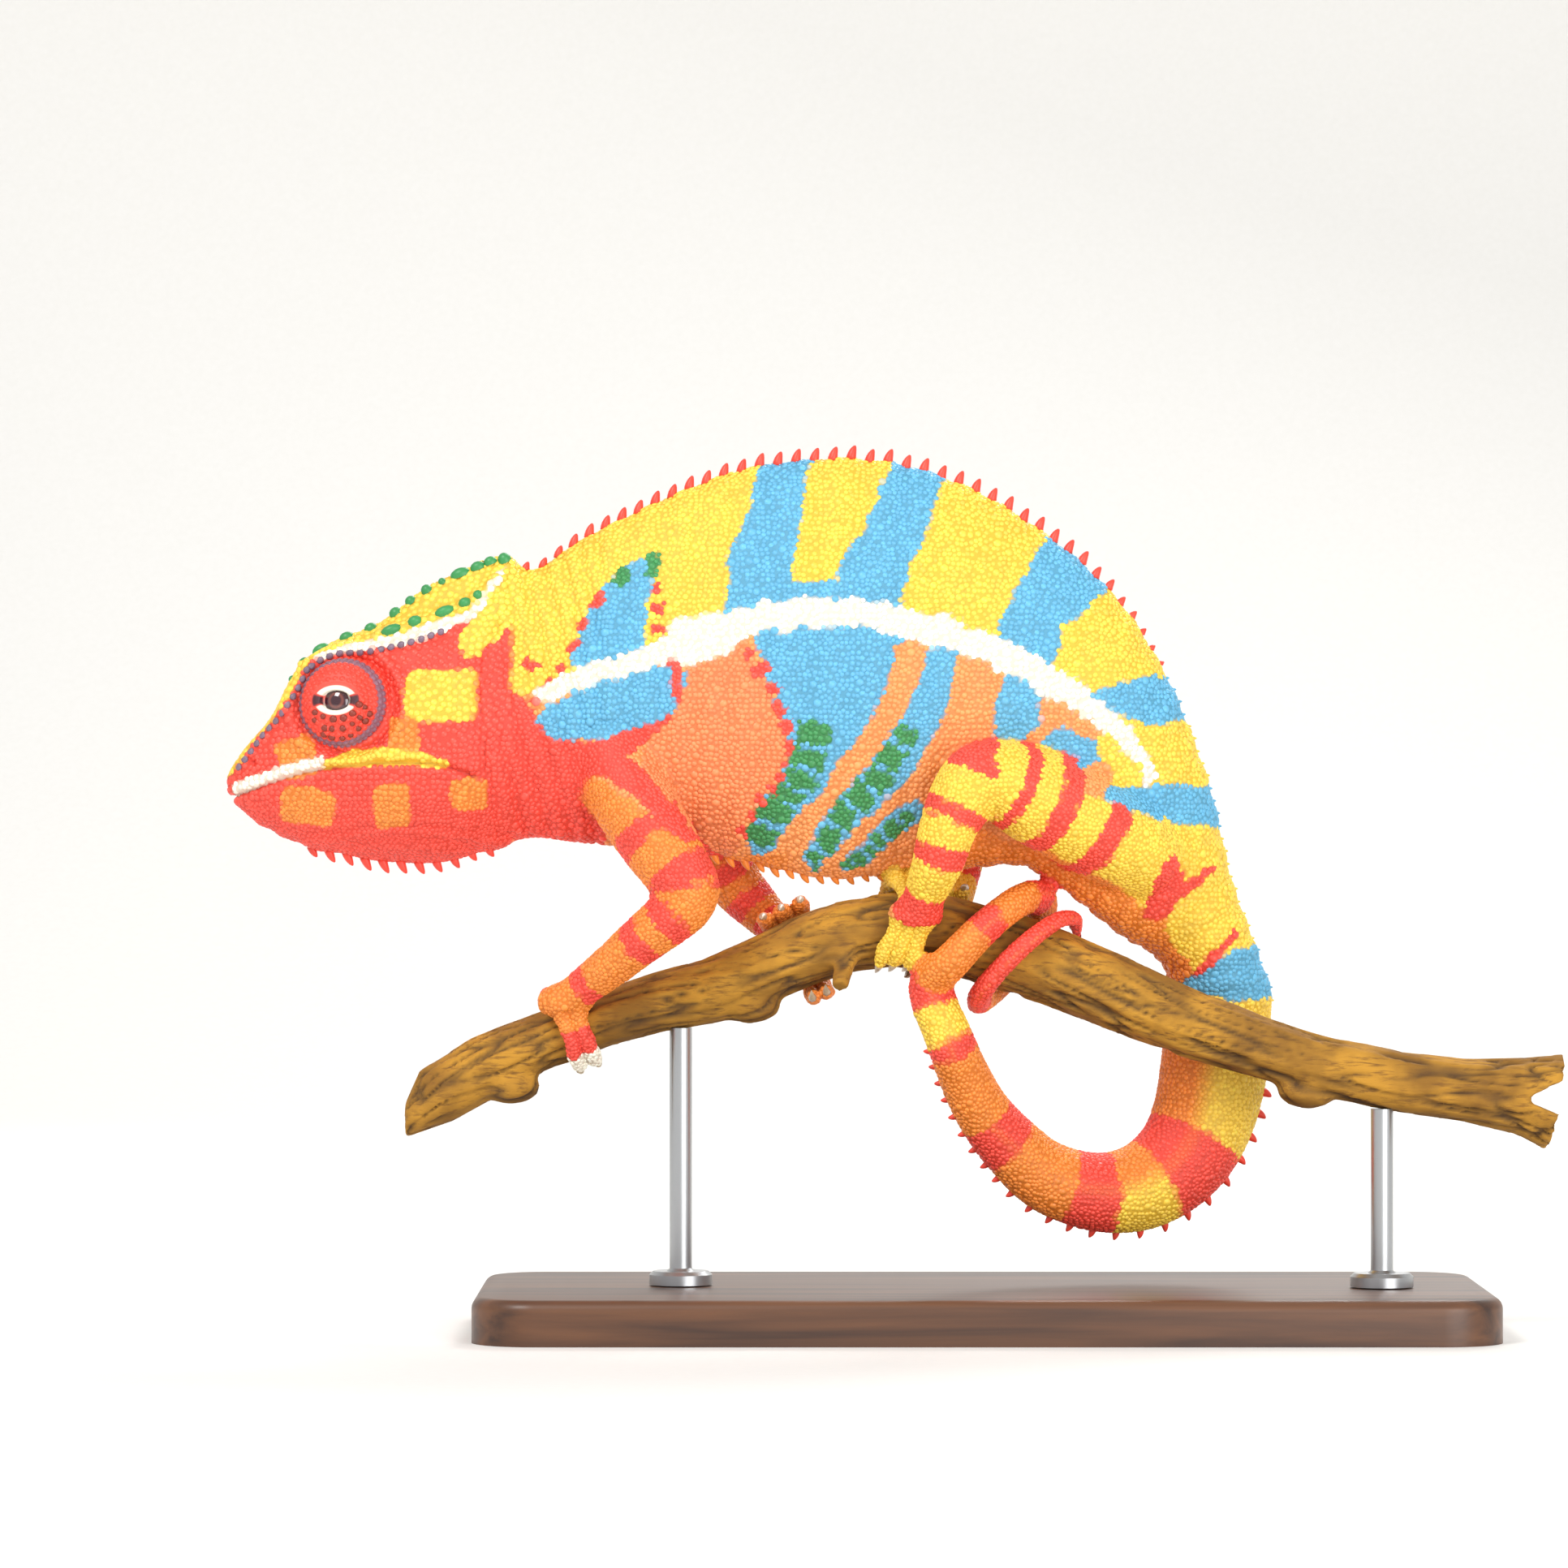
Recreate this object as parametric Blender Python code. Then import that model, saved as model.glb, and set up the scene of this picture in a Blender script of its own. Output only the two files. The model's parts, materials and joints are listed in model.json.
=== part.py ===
"""A panther chameleon at life size, gripping a cut length of branch on a museum stand.

Run with: blender --background --factory-startup --python part.py
Units are metres with +Z up. The animal faces -X and its left side faces -Y.
The origin is the centre of the underside of the stand's base.
"""

import math
from collections import namedtuple

import bmesh
import bpy
from mathutils import Matrix, Vector

MM = 0.001
GAP = 0.3 * MM  # clearance between pieces that meet

# ---------------------------------------------------------------- driving sizes
BASE_LENGTH = 224 * MM
BASE_WIDTH = 96 * MM
BASE_CENTRE_X = 20 * MM
BASE_THICKNESS = 10 * MM
BASE_CORNER = 14 * MM
BASE_EDGE = 2.5 * MM

ROD_RADIUS = 2.5 * MM
ROD_FLANGE_RADIUS = 7 * MM
ROD_FLANGE_HEIGHT = 3 * MM
ROD_FRONT_X = -47 * MM
ROD_REAR_X = 108 * MM

EYE_RADIUS = 10.2 * MM  # the scaly turret where it leaves the socket
EYE_CENTRE = Vector((-121.4, 7.8, 139.2)) * MM
EYE_REACH = 9.4 * MM  # from the turret's centre to its tip
EYE_FORWARD_DEG = 14  # the turret looks out and a little ahead
EYE_LIFT = 0.12  # and a little up, as a slope
PUPIL_RADIUS = 2.6 * MM

RIB_SIDES = 18
TAIL_SIDES = 10
LIMB_SIDES = 10
TOE_SIDES = 6
BRANCH_SIDES = 11

CREST_SPACING = 4.2 * MM
BELLY_SPINE = 1.5  # in millimetres, as the other crests' lengths
TAIL_SPINE = 1.4 * MM
SPINE_ROOT = 1.6 * MM  # how deep a spine starts inside the skin
TAIL_LOOP_CENTRE = Vector((42, 10, 62)) * MM  # the tail's spines point away from here
ROD_SINK = 0.3  # how far below the branch's middle a rod ends, in branch radii
SPINE_SIDES = 4
CLAW_LENGTH = 4.0 * MM
CLAW_RADIUS = 1.0 * MM
CLAW_ROOT = 1.8 * MM  # how deep a claw starts inside its toe

# ---------------------------------------------------------------- body sections
# A rib is one section of head or body: its highest and lowest points in the
# X-Z plane, half its width, how far up it is widest, and the powers of the
# superellipse above and below that level (1.4 is a steep roof, 2 an ellipse,
# 3 a box). side moves it off the middle plane. Sizes are in millimetres.
Rib = namedtuple("Rib", "name top low half_width level roof keel side")

RIBS = [
    Rib("snout_tip", (-148.2, 122.6), (-146.0, 117.0), 2.8, 0.50, 2.4, 2.2, 0),
    Rib("nostril", (-144.0, 129.0), (-141.2, 112.6), 6.2, 0.52, 3.0, 2.1, 0),
    Rib("canthus", (-137.7, 136.4), (-134.1, 108.9), 9.2, 0.48, 3.2, 2.0, 0),
    Rib("brow", (-131.8, 147.4), (-127.4, 106.4), 11.6, 0.46, 2.9, 2.0, 0),
    Rib("eye", (-124.4, 153.0), (-118.8, 104.9), 13.2, 0.44, 2.4, 1.9, 0),
    Rib("cheek", (-113.6, 157.6), (-109.8, 103.7), 15.4, 0.38, 1.7, 1.8, 0),
    Rib("casque", (-102.6, 166.0), (-99.4, 104.0), 15.6, 0.36, 1.35, 1.8, 0),
    Rib("casque_tip", (-88.2, 172.2), (-87.8, 106.6), 14.4, 0.38, 1.35, 1.8, 0),
    Rib("nape", (-80.6, 168.6), (-80.1, 109.1), 13.2, 0.44, 1.6, 1.8, 0),
    Rib("shoulder", (-67.5, 176.8), (-68.0, 107.8), 13.8, 0.42, 1.7, 1.8, 0),
    Rib("withers", (-50.0, 185.4), (-51.3, 106.6), 14.8, 0.40, 1.7, 1.8, 0),
    Rib("chest", (-30.6, 192.2), (-35.1, 104.2), 15.6, 0.40, 1.7, 1.8, 0),
    Rib("midbody", (-7.2, 194.0), (-16.2, 100.3), 15.6, 0.41, 1.7, 1.8, 0),
    Rib("loin", (14.0, 188.8), (1.8, 101.2), 14.8, 0.43, 1.7, 1.8, 0),
    Rib("flank", (33.5, 177.7), (16.2, 102.4), 13.6, 0.45, 1.7, 1.9, 0),
    Rib("rump", (50.8, 161.8), (29.2, 102.8), 12.6, 0.47, 1.8, 1.9, 0.4),
    Rib("hip", (62.6, 142.4), (40.0, 95.8), 11.8, 0.49, 1.9, 1.9, 2.4),
    Rib("vent", (70.6, 122.0), (50.4, 87.4), 11.2, 0.50, 2.0, 2.0, 6.6),
    Rib("tail_root", (75.8, 101.2), (58.2, 82.8), 10.7, 0.50, 2.0, 2.0, 12.0),
    Rib("tail_mid", (82.1, 84.8), (61.4, 77.6), 10.4, 0.50, 2.0, 2.0, 15.6),
    Rib("tail_start", (85.7, 72.0), (61.1, 71.2), 10.2, 0.50, 2.0, 2.0, 17.8),
]
RIB_AT = {rib.name: i for i, rib in enumerate(RIBS)}

# The mouth line from the snout to its corner, then the jaw angle down the throat.
MOUTH_LINE = [
    (-153, 116.9), (-146.2, 118.4), (-135.9, 122.0), (-125.5, 124.6), (-111.6, 126.0),
    (-99.9, 125.4), (-90.6, 123.6),
]
JAW_ANGLE = [(-86.6, 115), (-85.4, 98)]
JAW_FRONT = (-153, 98)

# ---------------------------------------------------------------- the perch
# Centre line of the branch and its radius: (x, y, z, radius) in millimetres.
BRANCH = [
    (-108.5, 3.0, 46.4, 5.2), (-99.9, 3.0, 53.2, 7.4), (-86.0, 2.0, 60.7, 7.2),
    (-71.1, 0.5, 66.6, 6.8), (-56.2, 0.0, 72.0, 7.0), (-41.8, 0.0, 75.0, 7.5),
    (-30.6, 0.5, 79.2, 8.0), (-18.0, 0.5, 84.9, 8.4), (-6.8, 0.0, 88.3, 8.5),
    (5.4, -0.5, 88.9, 8.8), (19.4, -1.0, 86.2, 9.2), (34.2, -2.0, 81.3, 9.1),
    (50.8, -3.5, 74.3, 8.8), (68.8, -5.0, 67.1, 7.9), (85.1, -6.0, 61.8, 7.1),
    (104.4, -7.0, 56.6, 7.2), (122.4, -7.0, 54.2, 7.2), (136.8, -6.5, 52.6, 8.6),
    (146.24, -6.0, 51.0, 11.2),
]
# Healed knots and a broken twig: (x, angle round the branch, reach, radius) in mm.
KNOTS = [(-87.0, 165, 4.4, 5.0), (-34.0, 168, 3.2, 5.0), (93.5, 172, 3.8, 5.0)]
TWIG_STUB = {"x": -10.0, "angle": 118, "reach": 7.0, "radius": 2.7}
END_NOTCH = [(139.0, 51.8), (156.0, 60.0), (156.0, 45.0)]  # split in the right end, X and Z

# ---------------------------------------------------------------- tail and limbs
# Free part of the tail after the last rib: (x, y, z, half height) in mm.
TAIL_FREE = [
    (73.4, 17.8, 71.6, 12.1), (72.6, 18.2, 59.0, 12.3), (70.0, 18.0, 46.6, 11.8),
    (64.8, 15.6, 37.4, 11.0), (56.2, 12.4, 31.4, 10.1), (45.9, 9.2, 30.2, 9.2),
    (34.6, 6.0, 33.8, 8.4), (26.3, 2.6, 40.9, 7.6), (20.2, -1.4, 48.3, 6.9),
    (15.8, -5.6, 56.6, 6.4), (12.6, -9.6, 64.6, 6.0),
]
# The rest coils up the near side and round the branch: (x, degrees from the top, half height).
TAIL_WRAP = [
    (10.8, 147, 5.6), (14.6, 112, 5.1), (20.6, 68, 4.6), (25.9, 22, 4.3), (29.0, -22, 4.1),
    (29.6, -66, 3.9), (27.4, -112, 3.7), (24.0, -156, 3.5), (22.6, -200, 3.3),
    (24.6, -240, 3.1), (29.0, -284, 2.9), (33.4, -330, 2.6), (36.2, -372, 2.2), (37.6, -408, 1.5),
]
TAIL_FLATNESS = 0.82  # width of the tail as a share of its height
TAIL_CUTS = {  # from where to where along TAIL_FREE + TAIL_WRAP, and how many rings
    "tail_upper": (0.0, 2.2, 7), "tail_bend": (2.2, 5.0, 10), "tail_front": (5.0, 8.2, 9),
    "tail_rise": (8.2, 11.6, 9), "tail_coil": (11.6, 18.0, 15), "tail_tip": (18.0, 24.0, 14),
}

# A limb runs from inside the body over elbow or knee to a wrist beside the palm.
# Both lists are (x, y, z, radius) in mm on the animal's left; the first ends at
# the joint, and the second goes on from there.
Limb = namedtuple("Limb", "name side upper lower wrist_radius foot")
# A foot grips the branch: x of its palm, the palm's angle round the branch,
# then toes, reach round the bark in degrees and lean in X of each toe bundle.
Foot = namedtuple("Foot", "x palm outer_toes outer_reach outer_lean inner_toes inner_reach inner_lean")

LIMBS = [
    Limb("front_left", -1,
         [(-62.0, 7.0, 128.0, 9.0), (-56.5, 13.6, 116.0, 9.2),
          (-49.0, 18.8, 104.5, 8.2), (-45.0, 20.6, 96.6, 7.0)],
         [(-54.5, 18.2, 87.6, 5.7)], 4.5,
         Foot(-69.6, 52, 2, 104, -0.5, 3, -118, -2.0)),
    Limb("front_right", 1,
         [(-60.0, 7.0, 126.0, 9.0), (-49.0, 14.6, 113.5, 8.6),
          (-38.0, 20.0, 102.5, 7.2), (-34.0, 21.2, 97.6, 6.2)],
         [(-28.0, 19.6, 91.4, 5.2)], 4.4,
         Foot(-20.6, -82, 2, -116, 0.5, 3, 72, 0.0)),
    Limb("rear_left", -1,
         [(60.0, 1.0, 103.0, 7.6), (50.0, 6.2, 108.6, 10.6),
          (34.0, 13.8, 117.0, 10.8), (19.8, 18.8, 122.6, 8.6)],
         [(13.0, 20.6, 114.6, 7.0), (9.6, 19.6, 104.0, 5.9)], 4.9,
         Foot(5.3, 72, 3, 58, -4.8, 2, -122, -5.0)),
    Limb("rear_right", 1,
         [(60.0, 6.0, 103.0, 7.6), (50.0, 10.4, 108.0, 10.4),
          (35.0, 16.8, 116.0, 10.4), (22.0, 21.4, 121.6, 8.2)],
         [(17.4, 23.2, 112.0, 6.4), (15.0, 21.4, 102.0, 5.5)], 4.8,
         Foot(12.0, -86, 3, -62, -4.0, 2, 62, 0.0)),
]
TOE_RADIUS = 2.4
TOE_SPREAD = 3.7
TOE_TAPER = 0.22  # share of its radius that a toe loses towards the claw
PALM_SIZE = Vector((6.8, 5.0, 4.6)) * MM
PALM_HEIGHT = 3.6 * MM
WRIST_DISTANCE = 6.4 * MM  # from the middle of the palm to the end of the limb
JOINT_NECK = 0.78  # start of the lower limb inside the joint, as a share of the joint's radius
DOME = ((0.55, 0.83), (0.88, 0.46))  # rounded end of a limb: distance and radius in radii

COLOURS = {
    "skin_warm": (0.80, 0.17, 0.08), "skin_blue": (0.10, 0.42, 0.70),
    "skin_yellow": (0.88, 0.65, 0.10), "skin_orange": (0.85, 0.36, 0.10),
    "eye": (0.62, 0.12, 0.07), "bark": (0.34, 0.21, 0.07),
    "base_wood": (0.06, 0.045, 0.035), "rod_metal": (0.55, 0.53, 0.50),
}


# ---------------------------------------------------------------- small helpers
def clear_scene():
    for obj in list(bpy.data.objects):
        bpy.data.objects.remove(obj)


def material(name, roughness=0.6, metallic=0.0):
    found = bpy.data.materials.get(name)
    if found:
        return found
    made = bpy.data.materials.new(name)
    made.use_nodes = True
    shader = made.node_tree.nodes["Principled BSDF"]
    shader.inputs["Base Color"].default_value = (*COLOURS[name], 1)
    shader.inputs["Roughness"].default_value = roughness
    shader.inputs["Metallic"].default_value = metallic
    made.diffuse_color = (*COLOURS[name], 1)
    return made


def to_object(name, bm, finish=None):
    bmesh.ops.remove_doubles(bm, verts=bm.verts, dist=1e-6)
    bmesh.ops.recalc_face_normals(bm, faces=bm.faces)
    mesh = bpy.data.meshes.new(name)
    bm.to_mesh(mesh)
    bm.free()
    mesh.shade_smooth()
    obj = bpy.data.objects.new(name, mesh)
    bpy.context.scene.collection.objects.link(obj)
    if finish:
        mesh.materials.append(finish)
    return obj


def helper(obj):
    """A cutter, or a shape that a Boolean joins to another: it is no node itself."""
    obj.hide_render = True
    obj.display_type = "WIRE"
    return obj


def boolean(target, other, operation):
    modifier = target.modifiers.new(f"{operation.lower()}_{other.name}", "BOOLEAN")
    modifier.operation = operation
    modifier.object = helper(other)
    return target


def spline(values, at):
    """Catmull-Rom through a list of equal-length tuples, at a position counted in points."""
    last = len(values) - 1
    at = min(max(at, 0.0), float(last))
    i = min(int(at), last - 1)
    f = at - i
    picked = [values[min(max(k, 0), last)] for k in (i - 1, i, i + 1, i + 2)]
    return tuple(
        0.5 * (2 * b + (c - a) * f + (2 * a - 5 * b + 4 * c - d) * f ** 2 + (3 * b - a - 3 * c + d) * f ** 3)
        for a, b, c, d in zip(*picked)
    )


def steps(start, end, count):
    return [start + (end - start) * i / (count - 1) for i in range(count)]


def loft(bm, rings):
    """A closed tube through rings of equally many points, with flat ends."""
    rows = [[bm.verts.new(p) for p in ring] for ring in rings]
    for one, two in zip(rows, rows[1:]):
        for i in range(len(one)):
            j = (i + 1) % len(one)
            bm.faces.new((one[i], one[j], two[j], two[i]))
    bm.faces.new(rows[0])
    bm.faces.new(rows[-1])


# ---------------------------------------------------------------- head and body
def rib_values(at):
    rows = [(*r.top, *r.low, r.half_width, r.level, r.roof, r.keel, r.side) for r in RIBS]
    return spline(rows, at)


def rib_ring(at, grow=0.0):
    tx, tz, lx, lz, width, level, roof, keel, side = rib_values(at)
    low = Vector((lx, side, lz)) * MM
    rise = Vector((tx, side, tz)) * MM - low
    height, up = rise.length, rise.normalized()
    width = width * MM + grow
    points = []
    for i in range(RIB_SIDES):
        turn = 2 * math.pi * i / RIB_SIDES
        c, s = math.cos(turn), math.sin(turn)
        power = roof if s >= 0 else keel
        reach = (height * (1 - level) if s >= 0 else height * level) + grow
        across = math.copysign(abs(c) ** (2 / power), c) * width
        along = math.copysign(abs(s) ** (2 / power), s) * reach
        points.append(low + up * (height * level + along) + Vector((0, across, 0)))
    return points


def body_length(name, start, end, count, finish=None, grow=0.0):
    """The body between two ribs: half a gap short of each cut, or grown on all sides as a cutter."""
    rings = [rib_ring(a, grow) for a in steps(start, end, count)]
    for at, beside in ((0, 1), (-1, -2)):
        if start > 0 or at == -1:
            middle, inner = (sum(rings[k], Vector()) / RIB_SIDES for k in (at, beside))
            shift = (inner - middle).normalized() * (-grow if grow else GAP / 2)
            rings[at] = [p + shift for p in rings[at]]
    bm = bmesh.new()
    loft(bm, rings)
    return to_object(name, bm, finish)


def spine(bm, root, tip, radius):
    """A small cone from inside the skin to a blunt tip."""
    axis = tip - root
    turn = axis.to_track_quat("Z", "Y").to_matrix().to_4x4() @ Matrix.Rotation(math.pi / 4, 4, "Z")
    made = bmesh.ops.create_cone(bm, cap_ends=True, segments=SPINE_SIDES, radius1=radius,
                                 radius2=radius * 0.25, depth=axis.length)
    bmesh.ops.transform(bm, matrix=turn, verts=made["verts"])
    bmesh.ops.translate(bm, vec=(root + tip) / 2, verts=made["verts"])


def crest(name, start, end, length, lean, edge=0, sink=SPINE_ROOT, spacing=CREST_SPACING):
    """A row of spines along the top (edge 0) or the bottom (edge 1) of the body."""
    def point(at):
        values = rib_values(at)
        return Vector((values[edge * 2], values[8], values[edge * 2 + 1])) * MM

    def outward(at):
        values = rib_values(at)
        away = Vector((values[0] - values[2], 0, values[1] - values[3])).normalized()
        return -away if edge else away

    bm = bmesh.new()
    trail, walked, next_at = point(start), 0.0, spacing / 2
    count = 400
    for i in range(1, count + 1):
        at = start + (end - start) * i / count
        here = point(at)
        walked += (here - trail).length
        along = (here - trail).normalized()
        trail = here
        if walked >= next_at:
            next_at += spacing
            share = (at - start) / (end - start)
            out = (outward(at) + along * lean).normalized()
            reach = length(share) * MM
            spine(bm, here - out * sink, here + out * reach, 0.36 * spacing)
    return to_object(name, bm)


# ---------------------------------------------------------------- tubes
def frames(points, side):
    """Tangent, side and up at each point, carried along without twist."""
    last = len(points) - 1
    tangents = [(points[min(i + 1, last)] - points[max(i - 1, 0)]).normalized() for i in range(last + 1)]
    found = []
    for t in tangents:
        side = (side - t * side.dot(t)).normalized()
        found.append((t, side, t.cross(side)))
    return found


def tube_rings(points, radii, sides, flatness=1.0, grow=0.0, along=Vector((0, 1, 0))):
    """Elliptical rings along a path. flatness scales the radius in the direction of along."""
    rings = []
    for point, radius, (_, side, up) in zip(points, radii, frames(points, along)):
        across, high = radius * flatness + grow, radius + grow
        rings.append([
            point + side * (across * math.cos(2 * math.pi * i / sides))
            + up * (high * math.sin(2 * math.pi * i / sides))
            for i in range(sides)
        ])
    return rings


def tube(name, stations, start, end, count, sides, finish=None, flatness=1.0, grow=0.0, trim=(True, True)):
    """Part of a tapering tube through stations, with half the gap left at trimmed ends."""
    rows = [spline(stations, a) for a in steps(0, len(stations) - 1, 20 * (len(stations) - 1) + 1)]
    points = [Vector(r[:3]) * MM for r in rows]
    radii = [r[3] * MM for r in rows]
    rings = tube_rings(points, radii, sides, flatness, grow)
    last = len(rings) - 1
    picked = [round(a * 20) for a in steps(start, end, count)]
    chosen = [list(rings[min(max(i, 0), last)]) for i in picked]
    centre = [points[min(max(i, 0), last)] for i in picked]
    for at, inward, wanted in ((0, 1, trim[0]), (-1, -2, trim[1])):
        if wanted:
            shift = (centre[inward] - centre[at]).normalized() * (GAP / 2)
            chosen[at] = [p + shift for p in chosen[at]]
    bm = bmesh.new()
    loft(bm, chosen)
    return to_object(name, bm, finish)


# ---------------------------------------------------------------- the branch
def branch_at(x):
    """Centre and radius of the branch at an X in millimetres."""
    for i, (one, two) in enumerate(zip(BRANCH, BRANCH[1:])):
        if x <= two[0] or i == len(BRANCH) - 2:
            at = i + (x - one[0]) / (two[0] - one[0])
            values = spline(BRANCH, at)
            return Vector(values[:3]) * MM, values[3] * MM
    return None


def round_branch(x, degrees, above):
    """A point that far above the bark: 0 degrees is on top, 90 on the animal's left."""
    centre, radius = branch_at(x)
    ahead, behind = branch_at(x + 1)[0], branch_at(x - 1)[0]
    along = (ahead - behind).normalized()
    up = (Vector((0, 0, 1)) - along * along.z).normalized()
    left = along.cross(up) * -1
    if left.y > 0:
        left = -left
    turn = math.radians(degrees)
    return centre + (up * math.cos(turn) + left * math.sin(turn)) * (radius + above)


def branch_piece(grow=0.0, name="perch_branch", finish=None):
    bm = bmesh.new()
    count = 22
    rows = [spline(BRANCH, a) for a in steps(0, len(BRANCH) - 1, count)]
    points = [Vector(r[:3]) * MM for r in rows]
    radii = [r[3] * MM for r in rows]
    rings = tube_rings(points, radii, BRANCH_SIDES, 1.0, grow)
    # the left end is a slanting break
    rings[0] = [p + Vector((0.8 * (p.z - points[0].z), 0, 0)) for p in rings[0]]
    loft(bm, rings)
    return to_object(name, bm, finish)


def slab(name, outline):
    """A prism across the whole model over an outline in X and Z, in millimetres."""
    bm = bmesh.new()
    face = bm.faces.new([bm.verts.new((x * MM, -30 * MM, z * MM)) for x, z in outline])
    pushed = bmesh.ops.extrude_face_region(bm, geom=[face])
    moved = [v for v in pushed["geom"] if isinstance(v, bmesh.types.BMVert)]
    bmesh.ops.translate(bm, vec=(0, 60 * MM, 0), verts=moved)
    return to_object(name, bm)


def knots(grow=0.0):
    bm = bmesh.new()
    for x, angle, reach, radius in KNOTS:
        made = bmesh.ops.create_icosphere(bm, subdivisions=2, radius=radius * MM + grow)
        centre = round_branch(x, angle, (reach - radius) * MM)
        bmesh.ops.scale(bm, vec=(1.5, 1, 0.9), verts=made["verts"])
        bmesh.ops.translate(bm, vec=centre, verts=made["verts"])
    return to_object("knot_shapes", bm)


def twig_stub():
    """Stump of a side twig that was snapped off."""
    root = round_branch(TWIG_STUB["x"], TWIG_STUB["angle"], -4 * MM)
    tip = round_branch(TWIG_STUB["x"] - 5, TWIG_STUB["angle"] + 14, TWIG_STUB["reach"] * MM)
    radius = TWIG_STUB["radius"] * MM
    bm = bmesh.new()
    loft(bm, tube_rings([root, (root + tip) / 2, tip], [radius * 1.35, radius, radius * 0.9], 7))
    return to_object("twig_shape", bm)


# ---------------------------------------------------------------- feet
def toe_path(foot, angle_end, lean, offset, count=5):
    """Where one toe's middle lies on the bark, from the palm to the root of its claw."""
    points = []
    for share in steps(0, 1, count):
        angle = foot.palm + angle_end * share
        x = foot.x + lean * share + offset * min(1.0, 0.35 + share)
        points.append(round_branch(x, angle, TOE_RADIUS * (1 - TOE_TAPER * share) * MM + GAP))
    return points


def foot_shapes(limb, finish):
    """Palm, two bundles of fused toes and their claws, as overlapping shapes, the palm first."""
    foot = limb.foot
    bm = bmesh.new()
    made = bmesh.ops.create_uvsphere(bm, u_segments=8, v_segments=5, radius=1.0)
    bmesh.ops.scale(bm, vec=PALM_SIZE, verts=made["verts"])
    bmesh.ops.translate(bm, vec=round_branch(foot.x, foot.palm, PALM_HEIGHT), verts=made["verts"])
    shapes = [to_object(f"foot_{limb.name}", bm, finish)]
    bundles = ((foot.outer_toes, foot.outer_reach, foot.outer_lean),
               (foot.inner_toes, foot.inner_reach, foot.inner_lean))
    for bundle, (toes, reach, lean) in enumerate(bundles):
        path = toe_path(foot, reach, lean, 0)
        radii = [TOE_RADIUS * MM * (1 - TOE_TAPER * s) for s in steps(0, 1, len(path))]
        wide = 1 + (toes - 1) * TOE_SPREAD / TOE_RADIUS / 2
        bm = bmesh.new()
        loft(bm, tube_rings(path, radii, TOE_SIDES, wide, along=Vector((1, 0, 0))))
        shapes.append(to_object(f"{limb.name}_toes_{bundle}", bm))
        for k in range(toes):
            offset = (k - (toes - 1) / 2) * TOE_SPREAD
            path = toe_path(foot, reach, lean, offset)
            ahead = (path[-1] - path[-2]).normalized()
            away = (path[-1] - branch_at(path[-1].x / MM)[0]).normalized()
            tip = path[-1] + (ahead * 0.94 - away * 0.12).normalized() * CLAW_LENGTH
            bm = bmesh.new()
            spine(bm, path[-1] - ahead * CLAW_ROOT, tip, CLAW_RADIUS)
            shapes.append(to_object(f"{limb.name}_claw_{bundle}{k}", bm))
    return shapes


def limb_segment(name, stations, rings, finish=None, grow=0.0):
    """A tapering length of limb with a rounded far end."""
    rows = [spline(stations, a) for a in steps(0, len(stations) - 1, rings)]
    points = [Vector(r[:3]) * MM for r in rows]
    radii = [r[3] * MM for r in rows]
    ahead, reach = (points[-1] - points[-2]).normalized(), radii[-1]
    points += [points[-1] + ahead * (reach * away + grow) for away, _ in DOME]
    radii += [reach * share for _, share in DOME]
    bm = bmesh.new()
    loft(bm, tube_rings(points, radii, LIMB_SIDES, 1.0, grow))
    return to_object(name, bm, finish)


def limb_stations(limb):
    """Upper and lower stations, the lower ones from the joint to the wrist."""
    upper = [(x, limb.side * y, z, r) for x, y, z, r in limb.upper]
    joint = (*upper[-1][:3], upper[-1][3] * JOINT_NECK)
    lower = [joint] + [(x, limb.side * y, z, r) for x, y, z, r in limb.lower]
    palm = round_branch(limb.foot.x, limb.foot.palm, PALM_HEIGHT)
    towards = (Vector(lower[-1][:3]) * MM - palm).normalized()
    wrist = (palm + towards * WRIST_DISTANCE) / MM
    return upper, lower + [(*wrist, limb.wrist_radius)]


def limb_pieces(limb, trunk_grown, branch_grown, finish):
    upper_at, lower_at = limb_stations(limb)
    upper = limb_segment(f"leg_{limb.name}_upper", upper_at, 5, finish)
    boolean(upper, trunk_grown, "DIFFERENCE")
    lower = limb_segment(f"leg_{limb.name}_lower", lower_at, 5, finish)
    boolean(lower, limb_segment(f"{limb.name}_elbow_cut", upper_at, 5, grow=GAP), "DIFFERENCE")
    foot, *others = foot_shapes(limb, finish)
    for shape in others:
        boolean(foot, shape, "UNION")
    boolean(foot, limb_segment(f"{limb.name}_wrist_cut", lower_at, 5, grow=GAP), "DIFFERENCE")
    boolean(foot, branch_grown, "DIFFERENCE")
    if limb.name.startswith("rear"):
        # the shank lies against the flank, and the belly rests on toes that reach over the branch
        boolean(lower, trunk_grown, "DIFFERENCE")
        boolean(foot, trunk_grown, "DIFFERENCE")


# ---------------------------------------------------------------- head details
def mouth_block(name, shift):
    """Everything below the mouth line and ahead of the jaw angle."""
    outline = [(x, z + shift / MM) for x, z in MOUTH_LINE]
    outline += [(x + shift / MM, z) for x, z in JAW_ANGLE]
    return slab(name, outline + [JAW_FRONT])


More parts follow.
